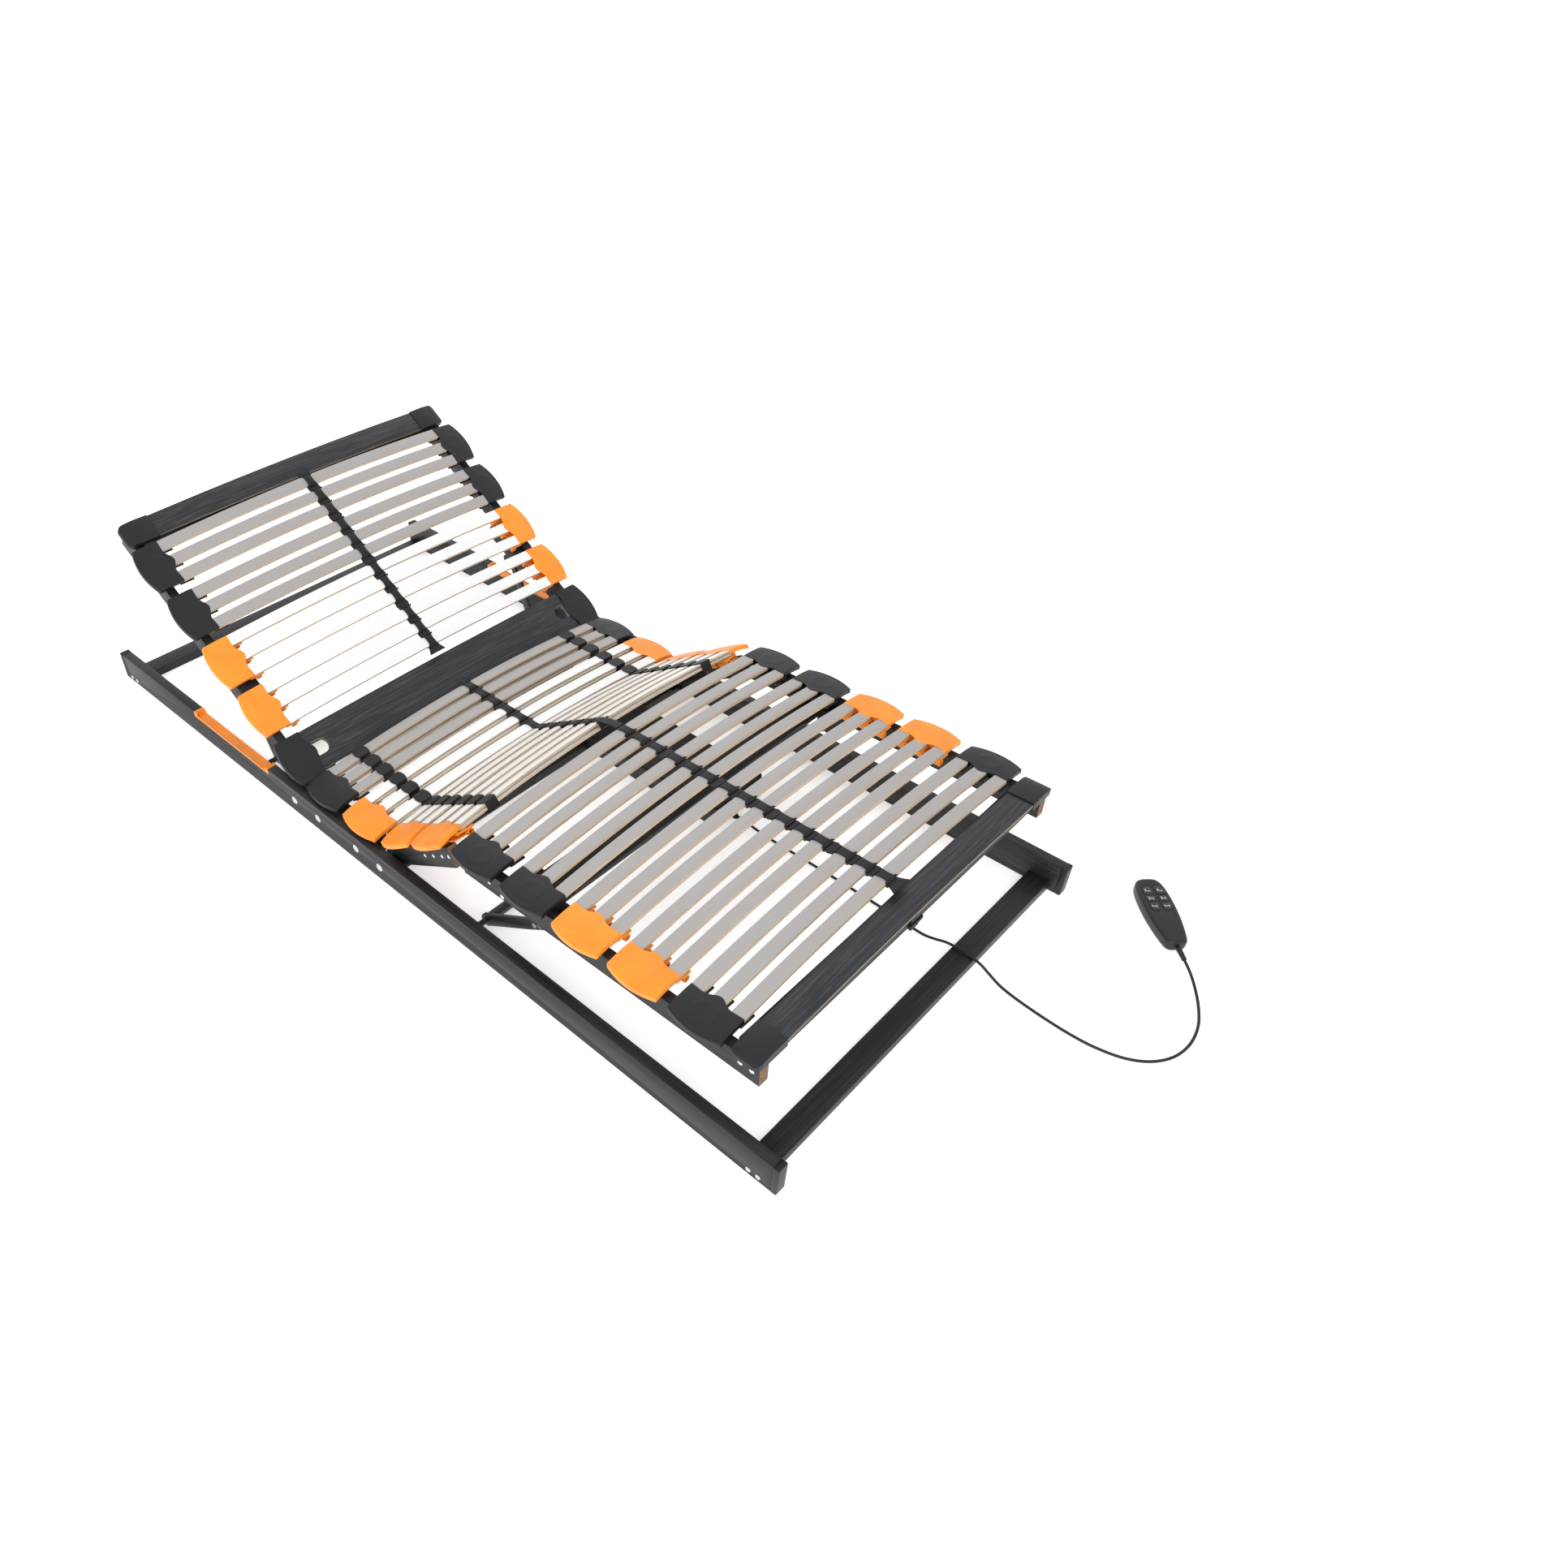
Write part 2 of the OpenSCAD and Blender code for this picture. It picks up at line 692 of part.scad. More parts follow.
module thigh_hinge_leaves() {
    color([0.2, 0.2, 0.2]) on_thigh() both_sides() {
        difference() {
            across(side_in - 3, 3) union() {
                translate([knee_s, knee_n]) circle(14);
                polygon([[132, 3], [132, 22], [236, 22], [knee_s + 8, knee_n + 11.5],
                    [knee_s, knee_n - 14], [236, -6]]);
            }
            for (s = rivet_row)
                translate([0, s, 12.6]) bar(side_in - 4, 5, 2.6);
        }
        translate([0, knee_s, knee_n]) bar(side_in - 9, 9, 5);
    }
}

module thigh_rivets() {
    color([0.75, 0.75, 0.76]) on_thigh() both_sides() for (s = rivet_row)
        translate([0, s, 12.6]) {
            bar(side_in - 4, side_t + 4, 2.5);
            dome(side_out, 4, 1.4);
        }
}

// ---- calf section

module calf_rails() {
    color([0.13, 0.13, 0.14]) on_calf() both_sides() difference() {
        across(side_in, side_t) polygon([[calf_start, -9], [calf_start, 33], [calf_end, 33], [calf_end, -9]]);
        for (s = calf_rivets)
            translate([0, s, 10.6]) bar(side_in - 1, side_t + 2, 2.6);
    }
}

module calf_cross_rails() {
    color([0.13, 0.13, 0.14]) on_calf() {
        end_cross_rail();
        translate([-side_in, 130, 0]) cube([2 * side_in, 75.8, 12]);
    }
}

module foot_board() {
    color([0.2, 0.2, 0.21]) on_calf() end_board(627);
}

module foot_board_caps() {
    color([0.14, 0.14, 0.15]) both_sides() on_calf() translate([0, 0, 1]) end_board_cap(627);
}

module calf_caps_black() {
    color([0.17, 0.18, 0.19]) both_sides() on_calf() translate([0, 0, 1]) {
        cap_black(5);
        cap_black(131);
        cap_black(509);
    }
}

module calf_caps_orange() {
    color([1, 0.5, 0.13]) both_sides() on_calf() translate([0, 0, 1]) {
        cap_orange(257);
        cap_orange(383);
    }
}

module calf_slats() {
    color([0.72, 0.71, 0.7]) on_calf() translate([0, 0, 1]) for (s = calf_rows) slat(s);
}

module calf_strap() {
    color([0.05, 0.05, 0.05]) on_calf() translate([0, 0, 1]) {
        strap_run(calf_rows, single_top, slat_low, 2, 634);
    }
}

module calf_hinge_leaves() {
    color([0.2, 0.2, 0.2]) on_calf() both_sides() difference() {
        union() {
            across(side_in - 6.4, 3) union() {
                circle(14);
                polygon([[0, -14], [-6, 12], [26, 22], [96, 22], [96, 2], [20, -5]]);
            }
            across(side_in - 3.6, 3.6) polygon([[22, 2], [22, 21], [96, 21], [96, 2]]);
        }
        bar(side_in - 8, 6, 5 + bolt_fit);
        for (s = [51, 82])
            translate([0, s, 10.6]) bar(side_in - 8, 10, 2.6);
    }
}

module calf_lift_shoes() {
    color([0.1, 0.1, 0.11]) both_sides() on_calf() shoe(206, 262, -7, -7);
}

module calf_screws() {
    color([0.75, 0.75, 0.76]) on_calf() both_sides() {
        for (s = calf_rivets)
            translate([0, s, 10.6]) {
                bar(side_in - (s > 40 ? 7.4 : 0), side_t + (s > 40 ? 7.4 : 0), 2.5);
                dome(side_out, 4, 1.4);
            }
        for (p = [[114, -3], [638, 14], [660, 14]])
            translate([0, p[0], p[1]]) dome(side_out, 5, 1.8);
    }
}

// ---- lever tubes

module lever_arm(len, wide, slim) {
    across(arm_in, arm_t) union() {
        circle(13);
        polygon([[0, -wide], [0, wide], [len * 0.55, wide - 1], [len, slim], [len, -slim], [len * 0.55, 1 - wide]]);
        translate([len, 0]) circle(slim);
    }
    translate([0, len, 0]) bar(360.8, arm_t + 5, 3);
    translate([0, len, 0]) bar(361.4, 9.6, roller_r);
}

module lever(len) {
    bar(-arm_in - arm_t, 2 * (arm_in + arm_t), tube_r);
    both_sides() {
        bar(arm_in, 420 - arm_in, stub_r);
        lever_arm(len, 12, 6.5);
    }
}

module back_lever() {
    color([0.12, 0.12, 0.13]) translate([0, back_lever_y, lever_z]) rotate([back_lever_a, 0, 0])
        lever(back_lever_l);
}

module leg_lever() {
    color([0.12, 0.12, 0.13]) translate([0, leg_lever_y, lever_z]) rotate([-leg_lever_a, 0, 0])
        mirror([0, 1, 0]) lever(leg_lever_l);
}

// ---- firmness sliders round the double slats

module slider_ring(r0, r1, w) {
    rotate([90, 0, 0]) linear_extrude(w) intersection() {
        difference() {
            circle(r1, $fn = 1440);
            circle(r0, $fn = 1440);
        }
        translate([slide_x - slide_w / 2, 0]) square([slide_w, r1 + 10]);
    }
}

module slider(s) {
    stack = 2 * twin_t + twin_gap;
    translate([0, s, slat_z + slat_rise - cam_r]) difference() {
        translate([0, slide_l / 2, 0]) slider_ring(cam_r - 2.4, cam_r + stack + 2.4, slide_l);
        translate([0, slat_w / 2 + 0.3, 0]) slider_hole(cam_r - 0.3, cam_r + stack + 0.3);
    }
}

module slider_hole(r0, r1) {
    rotate([90, 0, 0]) linear_extrude(slat_w + 0.6) intersection() {
        difference() {
            circle(r1, $fn = 1440);
            circle(r0, $fn = 1440);
        }
        translate([slide_x - slide_w / 2 - 1, 0]) square([slide_w + 2, r1 + 10]);
    }
}

module seat_sliders_right() {
    color([0.04, 0.04, 0.04]) on_seat() for (s = [each seat_rows_white, each seat_rows_grey]) slider(s);
}

module seat_sliders_left() {
    mirror([1, 0, 0]) seat_sliders_right();
}

module thigh_sliders_right() {
    color([0.04, 0.04, 0.04]) on_thigh() for (s = thigh_rows) slider(s);
}

module thigh_sliders_left() {
    mirror([1, 0, 0]) thigh_sliders_right();
}

module button_back_up() {
    one_button(0, -1);
}

module button_back_down() {
    one_button(0, 1);
}

module button_both_up() {
    one_button(1, -1);
}

module button_both_down() {
    one_button(1, 1);
}

module button_legs_up() {
    one_button(2, -1);
}

module button_legs_down() {
    one_button(2, 1);
}

base_rails();
end_beams();
middle_beam();
rail_end_caps();
trough_liners();
seat_rails();
base_bolts();
rail_spacers();
lever_bearings();
seat_caps_black();
seat_caps_orange();
seat_slats_grey();
seat_slats_white();
seat_strap();
drive_housing();
handset_lower();
handset_upper();
strain_relief();
handset_cable();
handset_plug();
back_rails();
back_cross_rail();
head_board();
head_board_caps();
back_caps_black();
back_caps_orange();
hip_board();
back_slats_grey();
back_slats_white();
back_strap();
back_lift_shoes();
thigh_rails();
thigh_caps();
thigh_slats();
thigh_strap();
thigh_hinge_leaves();
thigh_rivets();
calf_rails();
calf_cross_rails();
foot_board();
foot_board_caps();
calf_caps_black();
calf_caps_orange();
calf_slats();
calf_strap();
calf_hinge_leaves();
calf_lift_shoes();
calf_screws();
back_lever();
leg_lever();
seat_sliders_left();
seat_sliders_right();
thigh_sliders_left();
thigh_sliders_right();
button_back_up();
button_back_down();
button_both_up();
button_both_down();
button_legs_up();
button_legs_down();
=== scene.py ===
"""Adjustable slatted bed base: the visual model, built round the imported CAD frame."""
import math

import bmesh
import bpy
from mathutils import Matrix, Vector


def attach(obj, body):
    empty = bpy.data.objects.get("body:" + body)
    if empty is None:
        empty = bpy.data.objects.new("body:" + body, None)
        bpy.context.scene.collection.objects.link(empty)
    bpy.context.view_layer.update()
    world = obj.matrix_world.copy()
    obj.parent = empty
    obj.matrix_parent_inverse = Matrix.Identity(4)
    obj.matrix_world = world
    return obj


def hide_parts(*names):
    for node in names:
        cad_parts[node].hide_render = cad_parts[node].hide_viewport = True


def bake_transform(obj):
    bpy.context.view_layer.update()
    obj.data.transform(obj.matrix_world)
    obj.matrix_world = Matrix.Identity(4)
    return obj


bl_info = {
    "name": "Adjustable bed base",
    "version": (1, 0, 0),
    "blender": (4, 5, 0),
    "location": "View3D > Sidebar > Bed base",
    "description": "Builds the slats, holders, straps, boards, drive and handset of a bed base",
    "category": "Add Mesh",
}

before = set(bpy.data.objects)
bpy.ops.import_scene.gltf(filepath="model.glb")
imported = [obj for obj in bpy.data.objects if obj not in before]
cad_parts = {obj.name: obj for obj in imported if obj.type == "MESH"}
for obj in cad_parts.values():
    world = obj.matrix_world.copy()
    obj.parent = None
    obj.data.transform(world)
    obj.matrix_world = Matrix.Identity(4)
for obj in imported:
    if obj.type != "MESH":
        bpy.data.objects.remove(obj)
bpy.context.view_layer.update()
bpy.ops.object.select_all(action="DESELECT")

MM = 0.001
# pivots of the sections, and their raised angles
HIP = Vector((0, 0.272, 0.033))
THIGH = Vector((0, -0.012, 0.033))
BACK_TILT = math.radians(33.4)
THIGH_TILT = math.radians(32)
CALF_TILT = math.radians(1.27)
KNEE = Vector((0, THIGH.y - 0.256 * math.cos(THIGH_TILT) - 0.002 * math.sin(THIGH_TILT),
               THIGH.z + 0.256 * math.sin(THIGH_TILT) - 0.002 * math.cos(THIGH_TILT)))
TURNED = Matrix.Rotation(math.pi, 4, "Z")
# a section's own frame: x across, y along it from its pivot, z up from the pivot level
SECTION = {
    "base": Matrix.Translation((0, 0, 0.033)),
    "back": Matrix.Translation(HIP) @ Matrix.Rotation(BACK_TILT, 4, "X"),
    "thigh": Matrix.Translation(THIGH) @ Matrix.Rotation(-THIGH_TILT, 4, "X") @ TURNED,
    "calf": Matrix.Translation(KNEE) @ Matrix.Rotation(-CALF_TILT, 4, "X") @ TURNED
    @ Matrix.Translation((0, 0, 0.001)),
}
# slats and their holders
SLAT_HALF, SLAT_WIDE, SLAT_THICK, SLAT_RISE, SLAT_LOW = 0.370, 0.025, 0.008, 0.021, 0.0468
TWIN_THICK, TWIN_GAP = 0.005, 0.0022
TWIN_LOWER_RISE = 0.0172
SLIDER_DROP = 0.0045
CAP_ROWS = (0.0125, 0.052, 0.0915)
CAP_LONG = 0.104
CAP_TOP = 0.052
# plate of a holder: middle, outermost reach, radius of its outer edge, round field
CAP_MID, CAP_REACH, CAP_ARC, FIELD_X, FIELD_R = 0.052, 0.437, 0.1284, 0.401, 0.0235
CAP_LIFT, TWIN_CAP_LIFT = 0.0048, 0.0088
SLAT_TOP = SLAT_LOW + SLAT_RISE + SLAT_THICK
TWIN_TOP = SLAT_LOW + SLAT_RISE + 2 * TWIN_THICK + TWIN_GAP
SLAT_TUCK = 0.0055
# head and foot board: half length, width, thickness, rise, underside, corner, place along
BOARD = (0.352, 0.051, 0.0065, 0.010, 0.0425, 0.001)
BOARD_AT = 0.6525
CAP_SOLE, CAP_SOLE_RISE = 0.0040, 0.0013
# sleeves of the sliders: length, width, play round the slats, place across
SLIDER_LONG, SLIDER_WIDE, SLIDER_PLAY, SLIDER_X = 0.0320, 0.0288, 0.0048, 0.295
# hooks of the strap: half length, inner and outer face
HOOK_HALF, HOOK_IN, HOOK_OUT = 0.0118, 0.0131, 0.0158
# how far along its section each rail's bare end lies, and the skin over it
RAIL_ENDS = {"back": 0.672, "thigh": 0.243, "calf": 0.6754}
END_SKIN = 0.0006
BIG_R = (SLAT_HALF ** 2 + SLAT_RISE ** 2) / (2 * SLAT_RISE)
# holders: section, colour, where each starts along its section
HOLDERS = {
    "back_caps_black": ("back", "black", (0.383, 0.509)),
    "back_caps_orange": ("back", "orange", (0.131, 0.257)),
    "seat_caps_black": ("base", "black", (0.134,)),
    "seat_caps_orange": ("base", "orange", (0.0125,)),
    "thigh_caps": ("thigh", "orange", (0.025, 0.148)),
    "calf_caps_black": ("calf", "black", (0.005, 0.131, 0.509)),
    "calf_caps_orange": ("calf", "orange", (0.257, 0.383)),
}
SLAT_SETS = {
    "back_slats_grey": ("back", "grey_slat", (0.383, 0.509), False),
    "back_slats_white": ("back", "white_slat", (0.131, 0.257), False),
    "seat_slats_grey": ("base", "grey_slat", (0.134,), True),
    "seat_slats_white": ("base", "white_slat", (0.0125,), True),
    "thigh_slats": ("thigh", "white_slat", (0.025, 0.148), True),
    "calf_slats": ("calf", "grey_slat", (0.005, 0.131, 0.257, 0.383, 0.509), False),
}
STRAPS = {
    "back_strap": ("back", (0.131, 0.257, 0.383, 0.509), SLAT_TOP, 0.112, 0.624),
    "seat_strap": ("base", (0.0125, 0.134), TWIN_TOP, 0.013, 0.240),
    "thigh_strap": ("thigh", (0.025, 0.148), TWIN_TOP, 0.0255, 0.250),
    "calf_strap": ("calf", (0.005, 0.131, 0.257, 0.383, 0.509), SLAT_TOP, 0.002, 0.634),
}
SLIDERS = {
    "seat_sliders_left": ("base", -1, (0.0125, 0.134)),
    "seat_sliders_right": ("base", 1, (0.0125, 0.134)),
    "thigh_sliders_left": ("thigh", 1, (0.025, 0.148)),
    "thigh_sliders_right": ("thigh", -1, (0.025, 0.148)),
}
# leg lever: its rise and the places of the bolts along its arms
LEG_LEVER_ANGLE = math.radians(33.44)
LEVER_BOLT_AT = (0.168, 0.186)
# camera, and lights: name, place, size, power
EYE_AT = (-1.2685, -1.4586, 1.6225)
EYE_TURN = (-44.74, 41.67, -1.17)
EYE_LENS, EYE_SHIFT = 26.905, (0.1149, 0.01154)
LIGHTS = (("key", (-2.8, -2.4, 2.3), 2.2, 62), ("rim", (2.4, 2.6, 3.0), 3.0, 24))
# handset: half outline from the head end down, along and half width
HAND_AT = Matrix.Translation((0.495, -1.140, 0)) @ Matrix.Rotation(math.radians(-44.4), 4, "Z")
HAND_LONG = 0.164
HAND_SIDE = ((81, 9), (79.5, 15), (76, 20), (70, 23.6), (62, 26), (50, 28), (34, 29.2), (16, 29.5),
             (-2, 29.2), (-20, 28), (-38, 26), (-54, 23.6), (-66, 21.4), (-74, 19), (-79, 15.5),
             (-81.6, 10))
BUTTON_X, BUTTON_WIDE = 0.0115, 0.0164
BUTTON_ROWS = ((0.047, 0.0196), (0.0265, 0.013), (0.0065, 0.0186))
BUTTON_TOP = 0.026
BUTTONS = (("button_back_up", 0, -1), ("button_back_down", 0, 1), ("button_both_up", 1, -1),
           ("button_both_down", 1, 1), ("button_legs_up", 2, -1), ("button_legs_down", 2, 1))
# the cable's route, in millimetres, as in the part
CORD_ROUTE = (
    (415.1, -1221.4, 13), (396, -1241, 11), (372, -1262, 6), (340, -1283, 2.9), (300, -1300, 2.7),
    (255, -1306, 2.7), (212, -1298, 2.7), (177, -1275, 2.7), (153, -1240, 2.7), (140, -1195, 2.7),
    (136, -1150, 2.7), (137, -1100, 2.7), (141, -1050, 2.7), (146, -1015, 4), (150, -990, 11),
    (152, -968, 20), (153, -946, 23.4), (154, -918, 23.4), (155, -896, 20), (156, -874, 11),
    (157, -850, 4), (159, -815, 2.7), (161, -770, 2.7), (163, -710, 2.7), (164.5, -640, 2.7),
    (165, -570, 2.7), (165, -500, 2.8), (165, -465, 4.5), (165, -435, 7.8), (165, -411, 9))
CORD_WIDE = 0.0052


class BedFinishSettings(bpy.types.PropertyGroup):
    """Colours of the bed base"""
    anthracite: bpy.props.FloatVectorProperty(
        name="Anthracite foil", description="Foil on the rails and boards", subtype="COLOR",
        default=(0.0115, 0.012, 0.0135))
    grey: bpy.props.FloatVectorProperty(
        name="Grey slats", description="Foil on the grey slats", subtype="COLOR",
        default=(0.38, 0.360, 0.352))
    white: bpy.props.FloatVectorProperty(
        name="White slats", description="Foil on the white slats", subtype="COLOR",
        default=(0.86, 0.86, 0.855))
    orange: bpy.props.FloatVectorProperty(
        name="Orange holders", description="Moulding colour of the soft zones", subtype="COLOR",
        default=(0.96, 0.285, 0.020))
    black: bpy.props.FloatVectorProperty(
        name="Black holders", description="Moulding colour of the firm zones", subtype="COLOR",
        default=(0.0065, 0.0072, 0.0088))


class BedShapeSettings(bpy.types.PropertyGroup):
    """Small sizes of the bed base's pieces"""
    slat_corner: bpy.props.FloatProperty(
        name="Slat corner", description="Corner radius of a slat's end", unit="LENGTH",
        subtype="DISTANCE", default=0.006, min=0.002, max=0.010)
    slat_edge: bpy.props.FloatProperty(
        name="Slat edge", description="Rounding along a slat's edges", unit="LENGTH",
        subtype="DISTANCE", default=0.0009, min=0.0003, max=0.002)
    rail_edge: bpy.props.FloatProperty(
        name="Rail edge", description="Rounding along the rails' edges", unit="LENGTH",
        subtype="DISTANCE", default=0.0012, min=0.0003, max=0.003)


# ---- shader maths

class Wire:
    """A shader socket that takes part in sums as a number does"""

    def __init__(self, tree, out):
        self.tree = tree
        self.out = out

    def math(self, operation, *values):
        node = self.tree.nodes.new("ShaderNodeMath")
        node.operation = operation
        for k, value in enumerate(values):
            if isinstance(value, Wire):
                self.tree.links.new(value.out, node.inputs[k])
            else:
                node.inputs[k].default_value = value
        return Wire(self.tree, node.outputs[0])

    def __add__(self, other):
        return self.math("ADD", self, other)

    def __mul__(self, other):
        return self.math("MULTIPLY", self, other)

    def above(self, level):
        return self.math("GREATER_THAN", self, level)


class Finish:
    """A material under construction"""

    def __init__(self, name):
        self.material = bpy.data.materials.new(name)
        self.material.use_nodes = True
        self.tree = self.material.node_tree
        self.tree.nodes.clear()
        self.shader = self.tree.nodes.new("ShaderNodeBsdfPrincipled")
        output = self.tree.nodes.new("ShaderNodeOutputMaterial")
        self.tree.links.new(self.shader.outputs[0], output.inputs["Surface"])
        self.place = self.node("ShaderNodeTexCoord", out="Object")

    def node(self, kind, settings=None, out=0, **sockets):
        node = self.tree.nodes.new(kind)
        for key, value in (settings or {}).items():
            setattr(node, key, value)
        self.fill(node, sockets)
        return Wire(self.tree, node.outputs[out])

    def fill(self, node, sockets):
        for key, value in sockets.items():
            socket = node.inputs[key.replace("_", " ")]
            if isinstance(value, Wire):
                self.tree.links.new(value.out, socket)
            else:
                socket.default_value = value

    def set(self, **sockets):
        self.fill(self.shader, sockets)
        return self

    def mapped(self, scale=(1, 1, 1), turn=(0, 0, 0)):
        return self.node("ShaderNodeMapping", Vector=self.place, Scale=scale, Rotation=turn)

    def noise(self, vector, scale, detail=3.0, rough=0.55):
        return self.node("ShaderNodeTexNoise", Vector=vector, Scale=scale, Detail=detail,
                         Roughness=rough)

    def ramp(self, fac, *stops):
        node = self.tree.nodes.new("ShaderNodeValToRGB")
        ramp = node.color_ramp
        while len(ramp.elements) < len(stops):
            ramp.elements.new(0.5)
        for element, (at, colour) in zip(ramp.elements, stops):
            element.position = at
            element.color = (*colour, 1)
        self.tree.links.new(fac.out, node.inputs[0])
        return Wire(self.tree, node.outputs[0])

    def mix(self, fac, a, b):
        node = self.tree.nodes.new("ShaderNodeMix")
        node.data_type = "RGBA"
        for index, value in ((0, fac), (6, a), (7, b)):
            if isinstance(value, Wire):
                self.tree.links.new(value.out, node.inputs[index])
            else:
                node.inputs[index].default_value = value if index == 0 else (*value, 1)
        return Wire(self.tree, node.outputs[2])

    def bump(self, height, strength, distance):
        return self.node("ShaderNodeBump", Height=height, Strength=strength, Distance=distance)


def shade(colour, k):
    return tuple(min(1.0, c * k) for c in colour)


def wood_foil(name, colour, tilt, along_x, end_plane=None):
    """Dark foil with a fine pressed grain; end_plane (direction, distance) shows bare wood"""
    f = Finish(name)
    scale = (6, 300, 300) if along_x else (300, 6, 300)
    grain_place = f.mapped(scale, (-tilt, 0, 0))
    grain = f.noise(grain_place, 1.0, 5.0, 0.65)
    cloud = f.noise(f.place, 9.0, 3.0)
    tone = f.ramp(grain, (0.34, shade(colour, 0.45)), (0.50, colour), (0.66, shade(colour, 2.6)))
    tone = f.mix(cloud * 0.30, tone, shade(colour, 1.3))
    rough = grain * 0.22 + 0.36
    if end_plane:
        axis, reach = end_plane
        dot = f.node("ShaderNodeVectorMath", {"operation": "DOT_PRODUCT"}, out="Value")
        node = dot.out.node
        f.tree.links.new(f.place.out, node.inputs[0])
        node.inputs[1].default_value = axis
        mask = dot.above(reach)
        layers = f.noise(f.mapped((90, 90, 420)), 1.0, 4.0)
        bare = f.ramp(layers, (0.3, (0.12, 0.062, 0.032)), (0.7, (0.26, 0.15, 0.082)))
        tone = f.mix(mask, tone, bare)
        rough = rough + mask * 0.25
    return f.set(Base_Color=tone, Roughness=rough, Specular_IOR_Level=0.36,
                 Normal=f.bump(grain, 0.35, 0.0003)).material


def slat_foil(name, colour):
    """Smooth foil with faint lengthwise streaks and soft scuffs"""
    f = Finish(name)
    streak = f.noise(f.mapped((3, 420, 420)), 1.0, 4.0)
    scuff = f.noise(f.place, 14.0, 4.0)
    tone = f.ramp(streak, (0.25, shade(colour, 0.94)), (0.75, shade(colour, 1.04)))
    tone = f.mix(scuff * 0.25, tone, shade(colour, 0.93))
    return f.set(Base_Color=tone, Roughness=scuff * 0.15 + 0.36,
                 Normal=f.bump(streak, 0.12, 0.0001)).material


def ply_edge(name, dark=1.0):
    """Bare edge of bent layered beech: thin layers and fine pores"""
    f = Finish(name)
    layers = f.noise(f.mapped((2.5, 240, 900)), 1.0, 3.0, 0.6)
    pores = f.noise(f.mapped((60, 900, 900)), 1.0, 2.0)
    tone = f.ramp(layers, (0.28, shade((0.37, 0.26, 0.155), dark)),
                  (0.5, shade((0.57, 0.44, 0.30), dark)), (0.72, shade((0.72, 0.61, 0.46), dark)))
    tone = f.mix(pores.above(0.62) * 0.35, tone, shade((0.30, 0.19, 0.11), dark))
    return f.set(Base_Color=tone, Roughness=0.62, Normal=f.bump(layers, 0.3, 0.0002)).material


def moulded(name, colour, rough=0.46, grain=900.0, depth=0.3, coat=0.0):
    """Moulded plastic: fine spark texture, slight flow marks, scuffed patches"""
    f = Finish(name)
    fine = f.noise(f.place, grain, 2.0)
    flow = f.noise(f.mapped((18, 18, 34)), 1.0, 3.0)
    tone = f.ramp(flow, (0.3, shade(colour, 0.88)), (0.7, shade(colour, 1.10)))
    return f.set(Base_Color=tone, Roughness=flow * 0.14 + fine * 0.10 + (rough - 0.12),
                 Specular_IOR_Level=0.40,
                 Normal=f.bump(fine, depth, 0.00012), Coat_Weight=coat).material


def plated(name):
    """Bright zinc-plated steel with faint turning marks"""
    f = Finish(name)
    marks = f.noise(f.mapped((120, 700, 700)), 1.0, 3.0)
    tone = f.ramp(marks, (0.3, (0.50, 0.50, 0.50)), (0.7, (0.74, 0.74, 0.73)))
    return f.set(Base_Color=tone, Metallic=1.0, Roughness=marks * 0.2 + 0.2,
                 Normal=f.bump(marks, 0.15, 0.0001)).material


def coated_steel(name, colour):
    """Powder-coated steel with orange-peel texture"""
    f = Finish(name)
    peel = f.noise(f.place, 480.0, 2.0)
    tone = f.ramp(peel, (0.3, shade(colour, 0.8)), (0.7, shade(colour, 1.3)))
    return f.set(Base_Color=tone, Roughness=peel * 0.2 + 0.3,
                 Normal=f.bump(peel, 0.4, 0.0002)).material


MATERIALS = {}


